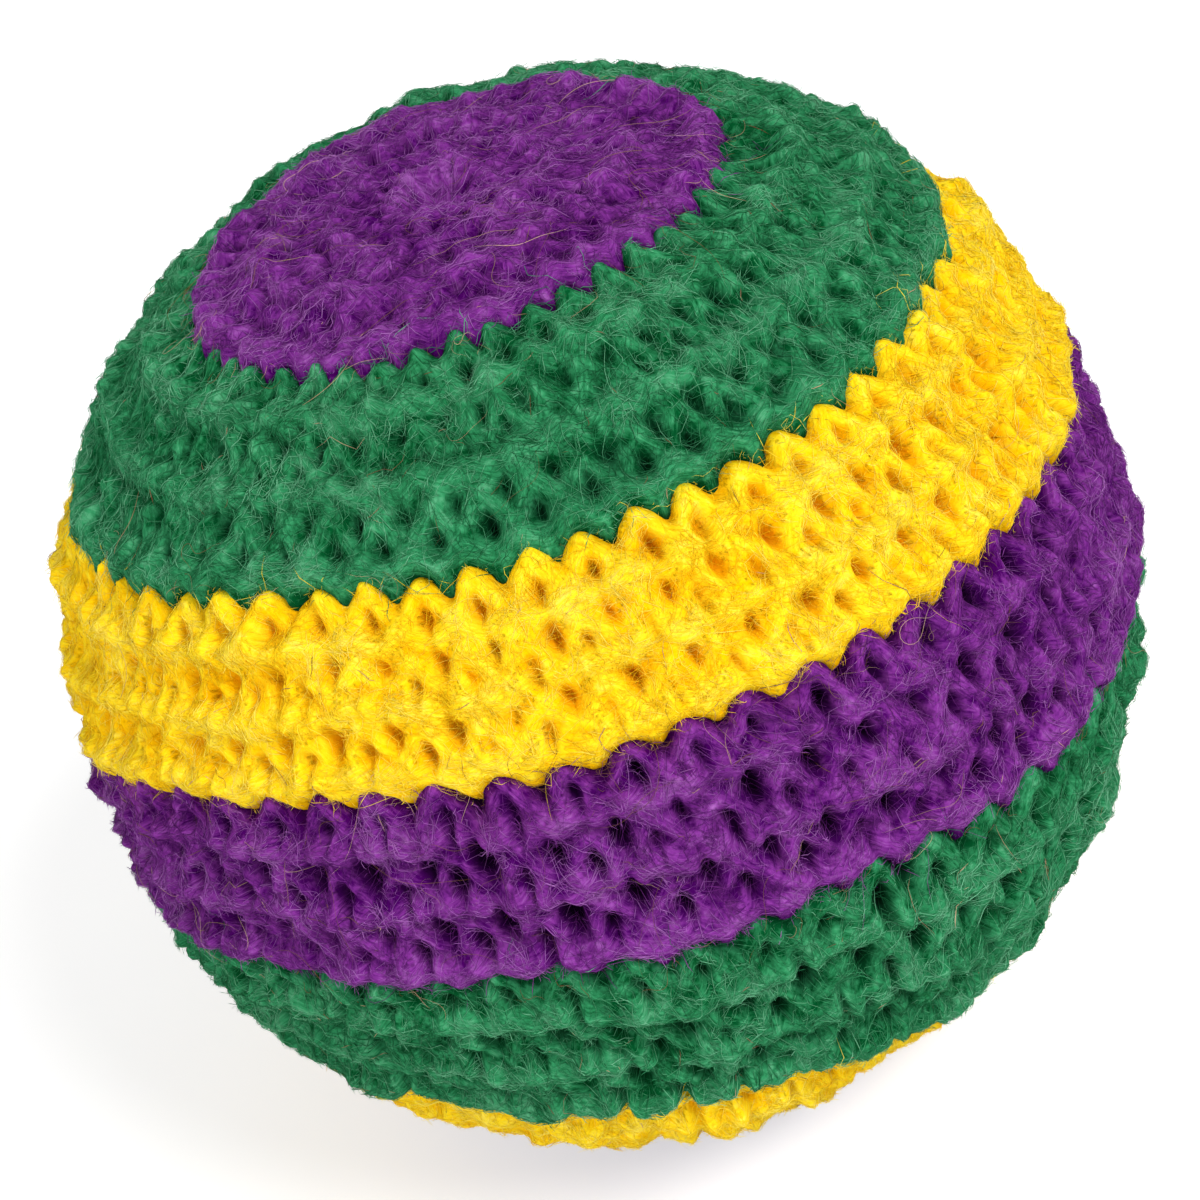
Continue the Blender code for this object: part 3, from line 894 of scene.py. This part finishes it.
def fuzz_piece(name, bundles, material):
    """One piece of fibres from bundles of lines, each with its thickness and share of tan."""
    parts, shades, tans = [], [], []
    rng = np.random.default_rng(SEED + len(name))
    for (lines, level), thick, tan in bundles:
        count = len(lines)
        # Painted shade and light: fibres that lie lower are darker and higher ones lighter, mixed with
        # each fibre's own random tone
        height = np.clip(level, *PAINTED_SHADE_ENDS)
        shade = SHADE_SPREAD * rng.uniform(0, 1, count) + (1 - SHADE_SPREAD) * height
        *part, each = fibre_shells(lines, thick * rng.uniform(*THICKNESS_SPREAD, count))
        parts.append(part)
        shades.append(np.repeat(shade, each))
        tans.append(np.repeat((rng.uniform(0, 1, count) < tan) * 1.0, each))
    values = [("shade", np.concatenate(shades)), ("tan", np.concatenate(tans))]
    return mesh_piece(name, *joined(parts), material, values=values)


# Materials


class Nodes:
    """Short names for making the nodes of one material, or of the world."""

    def __init__(self, name, world=False):
        kind = bpy.data.worlds if world else bpy.data.materials
        self.material = kind.new(name)
        self.material.use_nodes = True
        self.tree = self.material.node_tree
        self.shader = self.tree.nodes["Background" if world else "Principled BSDF"]

    def add(self, kind, inputs=None, **settings):
        """A node whose inputs are each a value or another node's output."""
        node = self.tree.nodes.new(kind)
        for key, value in settings.items():
            setattr(node, key, value)
        for socket, value in (inputs or {}).items():
            self.set(node, socket, value)
        return node

    def link(self, source, target):
        self.tree.links.new(source, target)

    def set(self, node, socket, value):
        if isinstance(value, bpy.types.NodeSocket):
            self.link(value, node.inputs[socket])
        else:
            node.inputs[socket].default_value = value

    def math(self, operation, first, second=0.0, clamp=False):
        inputs = {0: first, 1: second}
        return self.add("ShaderNodeMath", inputs, operation=operation, use_clamp=clamp).outputs[0]

    def weighted(self, *terms):
        """The sum of values, each given with its weight."""
        total = 0.0
        for value, weight in terms:
            total = self.math("ADD", total, self.math("MULTIPLY", value, weight))
        return total

    def attribute(self, label, output="Fac"):
        return self.add("ShaderNodeAttribute", attribute_name=label).outputs[output]

    def place(self):
        return self.add("ShaderNodeTexCoord").outputs["Object"]

    def seen(self):
        """1 for rays that show a background: from the camera, a mirror or glass."""
        path = self.add("ShaderNodeLightPath").outputs
        plain = self.math("MAXIMUM", path["Is Camera Ray"], path["Is Glossy Ray"])
        return self.math("MAXIMUM", plain, path["Is Transmission Ray"])

    def noise(self, vector, scale, detail=2.0, roughness=0.5):
        inputs = {"Vector": vector, "Scale": scale, "Detail": detail, "Roughness": roughness}
        return self.add("ShaderNodeTexNoise", inputs).outputs["Fac"]

    def bands(self, vector, axis, scale):
        """Even threads side by side across one axis."""
        inputs = {"Vector": vector, "Scale": scale, "Distortion": 0.6}
        node = self.add("ShaderNodeTexWave", inputs, wave_type="BANDS", bands_direction=axis)
        return node.outputs["Fac"]

    def stretched(self, vector, factors):
        return self.add("ShaderNodeVectorMath", {0: vector, 1: factors}, operation="MULTIPLY").outputs[0]

    def ramp(self, factor, stops):
        node = self.add("ShaderNodeValToRGB")
        self.link(factor, node.inputs["Fac"])
        elements = node.color_ramp.elements
        while len(elements) < len(stops):
            elements.new(0.5)
        for element, (position, colour) in zip(elements, stops):
            element.position = position
            element.color = colour
        return node.outputs["Color"]

    def mix(self, factor, first, second):
        """One colour mixed into another."""
        inputs = {"Factor": factor, 6: first, 7: second}
        return self.add("ShaderNodeMix", inputs, data_type="RGBA").outputs[2]

    def blend(self, factor, first, second):
        """One number mixed into another."""
        return self.add("ShaderNodeMix", {"Factor": factor, "A": first, "B": second}).outputs["Result"]

    def bump(self, height, distance, strength=1.0):
        inputs = {"Height": height, "Distance": distance, "Strength": strength}
        self.link(self.add("ShaderNodeBump", inputs).outputs["Normal"], self.shader.inputs["Normal"])

    def finish(self, colour, roughness, **settings):
        self.set(self.shader, "Base Color", colour)
        self.set(self.shader, "Roughness", roughness)
        for socket, value in settings.items():
            self.shader.inputs[socket.replace("_", " ")].default_value = value
        return self.material


def tones(*colours):
    """The colours of one wool, from the bottom of its holes up: the deep one is painted shade for the
    bottom of the holes, and the lighter ones go partly to what stands higher, as painted light.
    """
    names = ("deep", "dark", "middle", "light")
    return {name: screen_colour(*colour) for name, colour in zip(names, colours)}


# The deep tones are painted shade for the bottoms of the holes; from dark to light the tones also carry
# painted shade and light by height
WOOLS = {
    "purple": tones((0.10, 0.01, 0.13), (0.25, 0.0, 0.33), (0.47, 0.18, 0.53), (0.67, 0.44, 0.72)),
    "green": tones((0.01, 0.12, 0.07), (0.0, 0.28, 0.13), (0.18, 0.51, 0.33), (0.46, 0.72, 0.57)),
    "yellow": tones((0.85, 0.58, 0.03), (0.94, 0.73, 0.0), (0.94, 0.82, 0.12), (0.96, 0.89, 0.42)),
}
TAN = (screen_colour(0.45, 0.30, 0.20), screen_colour(0.80, 0.66, 0.54))


def yarn_material(wool):
    """Matted wool: fine streaks along the yarn over softer patches, with painted shade darker down in
    the holes and painted light a little lighter on the ridges.
    """
    tone = WOOLS[wool]
    nodes = Nodes(f"{wool}_yarn")
    fibre = nodes.attribute("fibre", "Vector")
    streaks = nodes.noise(nodes.stretched(fibre, (1.3, 8.0, 8.0)), scale=1.0, detail=3.0, roughness=0.7)
    tufts = nodes.noise(nodes.place(), scale=1500.0, detail=3.0, roughness=0.6)
    patches = nodes.noise(nodes.place(), scale=520.0)
    streaks = nodes.blend(nodes.attribute("seam"), streaks, tufts)
    level = nodes.weighted((streaks, 0.45), (tufts, 0.25), (patches, 0.3))
    # Painted light and shade: ridges a little lighter, recesses a little darker
    raised = nodes.math("SUBTRACT", 0.5, nodes.attribute("depth"))
    streaks_with_painted_shade = nodes.weighted((level, 1.0), (raised, 0.14))
    soft = tuple((a + b) / 2 for a, b in zip(tone["middle"], tone["light"]))
    colour = nodes.ramp(streaks_with_painted_shade, ((0.42, tone["dark"]), (0.56, tone["middle"]), (0.7, soft)))
    # Painted shade: down in the holes the colour goes towards the deep tone
    depth = nodes.math("SUBTRACT", nodes.attribute("depth"), 0.5)
    depth = nodes.math("MULTIPLY", depth, 1.2, clamp=True)
    colour = nodes.mix(depth, colour, tone["deep"])
    nodes.bump(level, 0.25 * MM, 1.0)
    return nodes.finish(colour, 0.9, Specular_IOR_Level=0.03)


def fuzz_material(wool):
    """Single fibres: each has its own tone, with painted shade darker on fibres that lie low and painted
    light on those that lie high, and some are tan.
    """
    tone = WOOLS[wool]
    nodes = Nodes(f"{wool}_fibres")
    stops = ((0.12, tone["dark"]), (0.5, tone["middle"]), (1.0, tone["light"]))
    colour = nodes.ramp(nodes.attribute("shade"), stops)
    uneven_dye = nodes.noise(nodes.place(), scale=450.0)
    colour = nodes.mix(nodes.math("MULTIPLY", uneven_dye, 0.4), colour, tone["middle"])
    tan = nodes.ramp(nodes.attribute("shade"), ((0.5, TAN[0]), (0.95, TAN[1])))
    colour = nodes.mix(nodes.attribute("tan"), colour, tan)
    return nodes.finish(colour, 0.8, Specular_IOR_Level=0.1)


# Cover


def cover():
    """The eight lengths of wool, each with its stitches and its fibres."""
    lengths = make_rounds()
    reliefs = [Relief(own, share) for own, share in zip(lengths, HOLE_SHARES)]
    surface = Surface(reliefs)
    yarns = {wool: yarn_material(wool) for wool in WOOLS}
    fibres = {wool: fuzz_material(wool) for wool in WOOLS}
    for order, (name, wool, _) in enumerate(WOOL_LENGTHS):
        stitches = shell_piece(f"{name}_stitches", reliefs[order], yarns[wool])
        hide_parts(name)
        fleece = Fleece(surface, lengths[order], order, wool)
        for label, bundles in fleece.pieces(last=order == len(WOOL_LENGTHS) - 1).items():
            fuzz_piece(f"{name}_{label}_fibres", bundles, fibres[wool])


# Pouch

POUCH_WALL = 0.5 * MM
SHOULDER_RADIUS = 9.0 * MM
TUCK_DEPTH = 6.2 * MM
NECK_RADIUS = 1.7 * MM
NECK_HEIGHT = 3.0 * MM
FRILL_RADIUS = 3.8 * MM
FRILL_RISE = 1.4 * MM
FOOT_RADIUS = 0.12 * MM
POUCH_COLUMNS = 240
POUCH_STEP = 0.6 * MM
ROUNDED = 8
GATHERS = 20
GATHER_DEPTH = 0.38 * MM
GATHER_WANDER = 0.5
GATHER_START = math.radians(30)
GATHER_BENDS = (2, 5)
BULGES = (6, 13)
BULGE = 0.22 * MM
SEAM_DEPTH = 0.3 * MM
SEAM_WIDTH = 0.6 * MM


def node_points(name):
    """The corners of a part of the frame."""
    mesh = bpy.data.objects[name].data
    points = np.empty(len(mesh.vertices) * 3)
    mesh.vertices.foreach_get("co", points)
    return points.reshape(-1, 3)


def pouch_line(radius):
    """The pouch's outer side as radius and height: up from its foot and down into its neck."""
    base = CENTRE[2] + radius - TUCK_DEPTH
    start, end = math.asin(FOOT_RADIUS / radius) - math.pi / 2, math.acos(SHOULDER_RADIUS / radius)
    turn = np.linspace(start, end, round(radius * (end - start) / POUCH_STEP))
    line = [np.stack((radius * np.cos(turn), CENTRE[2] + radius * np.sin(turn)), 1)]
    rim = base + NECK_HEIGHT + FRILL_RISE
    stops = [line[0][-1], (NECK_RADIUS, base), (NECK_RADIUS, base + NECK_HEIGHT), (FRILL_RADIUS, rim)]
    for first, last in zip(stops, stops[1:]):
        first, last = np.array(first), np.array(last)
        count = 2 * round(np.linalg.norm(last - first) / POUCH_STEP)
        line.append(first + (last - first) * np.arange(1, count + 1)[:, None] / count)
    line = np.concatenate(line)
    for _ in range(ROUNDED):
        line[1:-1] = (line[:-2] + 2 * line[1:-1] + line[2:]) / 4
    return line


def pouch_folds(line, length, lon, radius):
    """How far the cloth dips: in gathers up to its neck, over the beans, and along its seam."""
    first = np.argmax(line[:, 1] > CENTRE[2] + radius * math.sin(GATHER_START))
    growth = np.clip((length - length[first]) / (length[-1] - length[first]), 0, 1)
    rng = np.random.default_rng(SEED)
    bends, presses = waves(rng, *GATHER_BENDS), waves(rng, *BULGES)
    toward = direction(lon, np.arctan2(line[:, 1] - CENTRE[2], line[:, 0])[None, :])
    phase = GATHERS * lon + GATHER_WANDER * uneven(toward, bends)
    depth = GATHER_DEPTH * growth * (1 - np.cos(phase)) / 2
    depth = depth + BULGE * (1 - growth) * (1 + np.clip(uneven(toward, presses) / 2, -1, 1)) / 2
    aside = np.minimum(lon, 2 * math.pi - lon) * np.maximum(line[:, 0], SEAM_WIDTH)
    return depth + SEAM_DEPTH * np.exp(-((aside / SEAM_WIDTH) ** 2))


def there_and_back(values):
    """The values of a column up its outside, then again down its inside."""
    return np.concatenate((values, values[:, ::-1]), 1)


def pouch():
    """Cotton cloth over the beans, gathered into its neck, with a wavy rim above the tie."""
    corners = node_points("liner_pouch")
    radius = np.hypot(corners[:, 0], corners[:, 1]).max()
    line = pouch_line(radius)
    slope = unit(np.gradient(line, axis=0))
    normal = np.stack((slope[:, 1], -slope[:, 0]), 1)
    length = np.concatenate(([0.0], np.cumsum(np.linalg.norm(np.diff(line, axis=0), axis=1))))
    lon = np.linspace(0, 2 * math.pi, POUCH_COLUMNS, endpoint=False)[:, None]
    depth = pouch_folds(line, length, lon, radius)
    sides = []
    for inward in (0.0, POUCH_WALL):
        flat = line - inward * normal
        out = flat[None, :, 0] - depth * normal[:, 0]
        up = flat[None, :, 1] - depth * normal[:, 1]
        sides.append(np.stack((out * np.cos(lon), out * np.sin(lon), up), -1))
    points = np.concatenate((sides[0], sides[1][:, ::-1]), 1)
    around = np.broadcast_to(lon * radius / MM, depth.shape)
    up = np.broadcast_to(length / MM, depth.shape)
    weave = there_and_back(np.stack((around, up, np.zeros(depth.shape)), -1))
    held = {"values": [("fold", there_and_back(depth) / GATHER_DEPTH)], "vectors": [("weave", weave)]}
    cloth = band_piece("liner_pouch_cloth", points, cotton_material(), **held)
    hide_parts("liner_pouch")


def cotton_material():
    """Plain woven cotton, a little yellowed, with painted shade greyer down in its folds."""
    nodes = Nodes("cotton_cloth")
    weave = nodes.attribute("weave", "Vector")
    warp = nodes.bands(weave, "X", 3.4)
    weft = nodes.bands(weave, "Y", 3.4)
    threads = nodes.math("MAXIMUM", warp, weft)
    slubs = nodes.noise(nodes.stretched(weave, (0.6, 6.0, 1.0)), scale=1.0)
    stains = nodes.noise(nodes.place(), scale=160.0, detail=3.0)
    level = nodes.weighted((threads, 0.6), (slubs, 0.4))
    pale, shade = screen_colour(0.94, 0.91, 0.86), screen_colour(0.80, 0.75, 0.67)
    colour = nodes.ramp(level, ((0.2, shade), (0.6, pale)))
    colour = nodes.mix(nodes.math("MULTIPLY", stains, 0.3), colour, screen_colour(0.86, 0.80, 0.70))
    # Painted shade: the cloth goes greyer where it dips in its folds
    fold = nodes.math("MULTIPLY", nodes.attribute("fold"), 0.35, clamp=True)
    colour = nodes.mix(fold, colour, shade)
    nodes.bump(level, 0.08 * MM)
    return nodes.finish(colour, 0.9, Specular_IOR_Level=0.15)


# Tie

PLY_THICKNESS = 0.36 * MM
PLY_TURNS = 9
PLY_STEPS = 300
PLY_SIDES = 14
WINDING_STEPS = 8
KNOT_SCALE_SHARE = 0.2
KNOT_STEPS = 160


def tube(path, thickness):
    """Rings of points round a closed path."""
    along = unit(np.roll(path, -1, 0) - np.roll(path, 1, 0))
    side = unit(np.cross(along, (0.013, 0.021, 1.0)))
    up = np.cross(side, along)
    turn = 2 * math.pi * np.arange(PLY_SIDES) / PLY_SIDES
    around = np.cos(turn)[:, None] * side[:, None] + np.sin(turn)[:, None] * up[:, None]
    return path[:, None] + thickness / 2 * around


def ply_path(ply, middle, swing, level):
    """A ring that winds about the circle at this middle radius and height."""
    lon = np.linspace(0, 2 * math.pi, PLY_STEPS, endpoint=False)
    twist = PLY_TURNS * lon + math.pi * ply
    out, height = middle + swing * np.cos(twist), level + swing * np.sin(twist)
    return np.stack((out * np.cos(lon), out * np.sin(lon), height), 1)


def knot_path(place, size):
    """A closed trefoil."""
    turn = np.linspace(0, 2 * math.pi, KNOT_STEPS, endpoint=False)
    x, y = np.sin(turn) + 2 * np.sin(2 * turn), np.cos(turn) - 2 * np.cos(2 * turn)
    return place + size * np.stack((x, y, -np.sin(3 * turn)), 1)


def tie():
    """Thread of two plies round the pouch's neck, with a small knot at one side."""
    corners = node_points("liner_tie")
    level = corners[:, 2].min() / 2 + corners[:, 2].max() / 2
    reach = np.hypot(corners[:, 0], corners[:, 1])
    plain = corners[:, 0] < 0
    inner, outer = reach[plain].min(), reach[plain].max()
    swing = (outer - inner - PLY_THICKNESS) / 2
    paths = [ply_path(ply, (inner + outer) / 2, swing, level) for ply in range(2)]
    room = (reach.max() - inner) / 2
    paths.append(knot_path(np.array((inner + room, 0.0, level)), KNOT_SCALE_SHARE * room))
    rings = [tube(path, PLY_THICKNESS) for path in paths]
    parts, twists = [], []
    for ring in rings:
        columns, around = ring.shape[:2]
        sides = np.full(columns * around, 4)
        faces, uv = band_faces(columns, around), strip_map(columns, around)
        parts.append((ring.reshape(-1, 3), faces, sides, uv))
        winding = np.arange(columns)[:, None] / WINDING_STEPS + np.arange(around)[None, :] / around
        twists.append(winding.ravel())
    values = [("twist", np.concatenate(twists))]
    thread = mesh_piece("liner_tie_thread", *joined(parts), thread_material(), values=values)
    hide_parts("liner_tie")


def thread_material():
    """Spun cotton thread: fine fibres that wind round each ply."""
    nodes = Nodes("cotton_thread")
    turn = nodes.math("MULTIPLY", nodes.attribute("twist"), 2 * math.pi)
    winding = nodes.math("ADD", nodes.math("MULTIPLY", nodes.math("SINE", turn), 0.5), 0.5)
    grain = nodes.noise(nodes.place(), scale=9000.0, detail=3.0, roughness=0.7)
    level = nodes.weighted((winding, 0.4), (grain, 0.6))
    shade, pale = screen_colour(0.78, 0.74, 0.66), screen_colour(0.96, 0.94, 0.90)
    colour = nodes.ramp(level, ((0.3, shade), (0.7, pale)))
    nodes.bump(level, 0.05 * MM)
    return nodes.finish(colour, 0.85, Specular_IOR_Level=0.2)


# Beans

BEAN_RINGS = 42
BEAN_SIDES = 32
BEAN_SHARES = (0.945, 0.975)
BEAN_TIP = 0.2
WAIST_DEPTH = 0.28 * MM
WAIST_SHARE = 0.36
EYE_LENGTH = 1.3 * MM
EYE_WIDTH = 0.55 * MM
EYE_DEPTH = 0.14 * MM
WRINKLE = 0.03 * MM
WRINKLE_WAVES = (5, 9)
BELLY_POWERS = (0.9, 1.0)
# How far apart the beans lie in the pattern of their coats
GRAIN_REACH = 40
# How much of a bean's map its rings take, and each of its ends
BELT_SHARE = 0.9
END_SHARE = 0.08


class Bean:
    """Where a bean of the frame lies, how long, wide and thick it is, and how far it bends."""

    def __init__(self, name):
        corners = node_points(name)
        middle = corners.mean(0)
        flat = (corners - middle)[:, :2]
        _, ways = np.linalg.eigh(flat.T @ flat)
        along = ways[:, 1]
        across = np.array((-along[1], along[0]))
        if (flat @ along) ** 2 @ (flat @ across) > 0:
            along, across = -along, -across
        u, v = flat @ along, flat @ across
        self.length = (u.max() - u.min()) / 2
        shift = (u.max() + u.min()) / 2
        belt = v[np.abs(u - shift) < self.length / 4]
        self.width = (belt.max() - belt.min()) / 2
        rise = (belt.max() + belt.min()) / 2
        self.bend = rise - v[np.argmax(u)]
        self.thickness = np.ptp(corners[:, 2]) / 2
        flat_middle = middle[:2] + shift * along + rise * across
        self.middle = np.array((*flat_middle, (corners[:, 2].max() + corners[:, 2].min()) / 2))
        self.turn = np.array(((*along, 0.0), (*across, 0.0), (0.0, 0.0, 1.0)))


def bean_form(place, rng):
    """A bean's points, ring by ring from end to end, and how much each belongs to its eye."""
    size = rng.uniform(*BEAN_SHARES, 3)
    steps = np.concatenate(([BEAN_TIP], np.arange(1, BEAN_RINGS), [BEAN_RINGS - BEAN_TIP]))
    angle = math.pi * steps[:, None] / BEAN_RINGS
    turn = 2 * math.pi * np.arange(BEAN_SIDES)[None, :] / BEAN_SIDES
    along = -np.cos(angle) + 0 * turn
    belly = np.sin(angle) ** rng.uniform(*BELLY_POWERS)
    inner_side = np.clip(-np.cos(turn), 0, 1)
    out, up = belly * np.cos(turn), belly * np.sin(turn)
    x = along * place.length * size[0]
    y = out * place.width * size[1]
    z = up * place.thickness * size[2]
    eye = np.exp(-((x / EYE_LENGTH) ** 2) - (z / EYE_WIDTH) ** 2) * (inner_side > 0)
    waist = WAIST_DEPTH * np.exp(-((along / WAIST_SHARE) ** 2)) * inner_side**2
    ripples = rng.uniform(*WRINKLE_WAVES) * along + 3 * turn
    wrinkles = WRINKLE * np.sin(ripples + rng.uniform(0, 6))
    y = y + waist + EYE_DEPTH * eye + wrinkles * belly * np.cos(turn)
    y = y - along**2 * place.bend
    return np.stack((x, y, z), -1).reshape(-1, 3), eye


def bean_faces():
    """The corners of a bean's faces and how many each has: its rings, then its two ends."""
    ring = np.arange(BEAN_RINGS)[:, None] * BEAN_SIDES
    low = np.arange(BEAN_SIDES)[None, :]
    high = (low + 1) % BEAN_SIDES
    faces = np.stack((ring + low, ring + BEAN_SIDES + low, ring + BEAN_SIDES + high, ring + high), -1)
    tail = BEAN_RINGS * BEAN_SIDES
    corners = np.concatenate((faces.ravel(), low[0], tail + low[0, ::-1]))
    return corners, np.concatenate((np.full(tail, 4), [BEAN_SIDES, BEAN_SIDES]))


def bean_map():
    """The rings fill most of the map, and the two ends lie side by side above them."""
    turn = 2 * math.pi * np.arange(BEAN_SIDES) / BEAN_SIDES
    end = END_SHARE * (0.5 + 0.5 * np.stack((np.cos(turn), np.sin(turn)), 1))
    belt = strip_map(BEAN_RINGS, BEAN_SIDES) * (1, BELT_SHARE)
    return np.concatenate((belt, end + (0.1, BELT_SHARE + 0.01), end + (0.6, BELT_SHARE + 0.01)))


def bean(name, rng, material):
    """One dried bean: kidney-shaped, smooth, with its eye in the hollow of its inner side."""
    place = Bean(name)
    own, eye = bean_form(place, rng)
    points = place.middle + own @ place.turn
    grain = own / MM + rng.uniform(0, GRAIN_REACH, 3)
    values, vectors = [("eye", eye)], [("grain", grain)]
    piece = mesh_piece(f"{name}_seed", points, *bean_faces(), bean_map(), material, values, vectors)
    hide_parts(name)


def bean_material():
    """Smooth mottled seed coat, with a pale eye ringed in brown."""
    nodes = Nodes("bean_coat")
    grain = nodes.attribute("grain", "Vector")
    streaks = nodes.noise(nodes.stretched(grain, (0.45, 1.2, 1.2)), scale=1.0, detail=3.0, roughness=0.6)
    specks = nodes.noise(grain, scale=3.0, roughness=0.6)
    level = nodes.weighted((streaks, 0.7), (specks, 0.3))
    brown, tan = screen_colour(0.42, 0.22, 0.13), screen_colour(0.72, 0.50, 0.37)
    pale = screen_colour(0.83, 0.66, 0.53)
    colour = nodes.ramp(level, ((0.42, brown), (0.5, tan), (0.66, pale)))
    ring = nodes.ramp(nodes.attribute("eye"), ((0.12, (0, 0, 0, 1)), (0.3, (1, 1, 1, 1))))
    colour = nodes.mix(ring, colour, brown)
    scar = nodes.ramp(nodes.attribute("eye"), ((0.42, (0, 0, 0, 1)), (0.55, (1, 1, 1, 1))))
    colour = nodes.mix(scar, colour, screen_colour(0.90, 0.86, 0.78))
    worn = nodes.math("ADD", nodes.math("MULTIPLY", specks, 0.25), 0.25)
    nodes.bump(nodes.noise(grain, 7.0, 3.0), 0.03 * MM, 0.6)
    return nodes.finish(colour, worn)


def beans():
    rng = np.random.default_rng(SEED)
    material = bean_material()
    names = sorted(item.name for item in bpy.data.objects if item.name.startswith("bean_"))
    for name in names:
        bean(name, rng, material)


# Stage

# The camera stands where it takes the photo from, rolled to the photo's tilt
CAMERA_DISTANCE = 6 * BALL_RADIUS
CAMERA_ELEVATION = math.radians(33.15)
CAMERA_ROLL = math.radians(20.82)
CAMERA_LENS = 97.0
SENSOR = 36.0
SHIFT = -4.4 / 1200


def camera():
    data = bpy.data.cameras.new("camera")
    data.lens = CAMERA_LENS
    data.sensor_width = SENSOR
    data.shift_x = SHIFT
    data.clip_start = 0.01
    eye = placed("camera", data)
    back = Vector((0.0, -math.cos(CAMERA_ELEVATION), math.sin(CAMERA_ELEVATION)))
    right = Vector((1.0, 0.0, 0.0))
    level_up = back.cross(right)
    up = math.cos(CAMERA_ROLL) * level_up + math.sin(CAMERA_ROLL) * right
    right = up.cross(back)
    turn = Matrix((right, up, back)).transposed()
    eye.matrix_world = Matrix.Translation(Vector(CENTRE) + back * CAMERA_DISTANCE) @ turn.to_4x4()
    bpy.context.scene.camera = eye


FLOOR_RADIUS = 3.0
FLOOR_SIDES = 96
# How much the floor glows, and how strong the world's light is, where a ray shows them
FLOOR_GLOW = 0.45
WORLD_LIGHT = 0.5
SEEN_LIGHT = 0.5
# Each lamp's place, width and power
LAMPS = {
    "key": ((0.35, -0.45, 0.55), 0.35, 5.4),
    "fill": ((-0.45, -0.6, 0.16), 0.6, 3.8),
}


def floor():
    """A wide round floor that shows white and keeps the ball's shadow."""
    turn = 2 * math.pi * np.arange(FLOOR_SIDES) / FLOOR_SIDES
    points = [(FLOOR_RADIUS * math.cos(a), FLOOR_RADIUS * math.sin(a), 0.0) for a in turn]
    mesh = bpy.data.meshes.new("floor")
    mesh.from_pydata(points, [], [range(FLOOR_SIDES)])
    ground = placed("floor", mesh)
    nodes = Nodes("floor")
    grain = nodes.noise(nodes.place(), scale=60.0, detail=3.0)
    colour = nodes.ramp(grain, ((0.3, (0.80, 0.80, 0.80, 1.0)), (0.7, (0.82, 0.82, 0.82, 1.0))))
    nodes.finish(colour, 0.9)
    strength = nodes.math("MULTIPLY", nodes.seen(), FLOOR_GLOW)
    glow = nodes.add("ShaderNodeEmission", {"Strength": strength})
    both = nodes.add("ShaderNodeAddShader", {0: nodes.shader.outputs[0], 1: glow.outputs[0]})
    nodes.link(both.outputs[0], nodes.tree.nodes["Material Output"].inputs["Surface"])
    mesh.materials.append(nodes.material)


def area_light(name, place, size, power):
    data = bpy.data.lights.new(name, "AREA")
    data.shape = "DISK"
    data.size = size
    data.energy = power
    lamp = placed(name, data)
    lamp.location = Vector(place)
    lamp.rotation_mode = "QUATERNION"
    lamp.rotation_quaternion = (Vector(place) - Vector(CENTRE)).to_track_quat("Z", "Y")


def lights():
    for name, (place, size, power) in LAMPS.items():
        area_light(name, place, size, power)
    nodes = Nodes("world", world=True)
    bpy.context.scene.world = nodes.material
    nodes.shader.inputs["Color"].default_value = (1.0, 1.0, 1.0, 1.0)
    strength = nodes.math("ADD", nodes.math("MULTIPLY", nodes.seen(), SEEN_LIGHT), WORLD_LIGHT)
    nodes.link(strength, nodes.shader.inputs["Strength"])


bpy.context.scene.view_settings.view_transform = "Standard"
cover()
pouch()
tie()
beans()
camera()
floor()
lights()
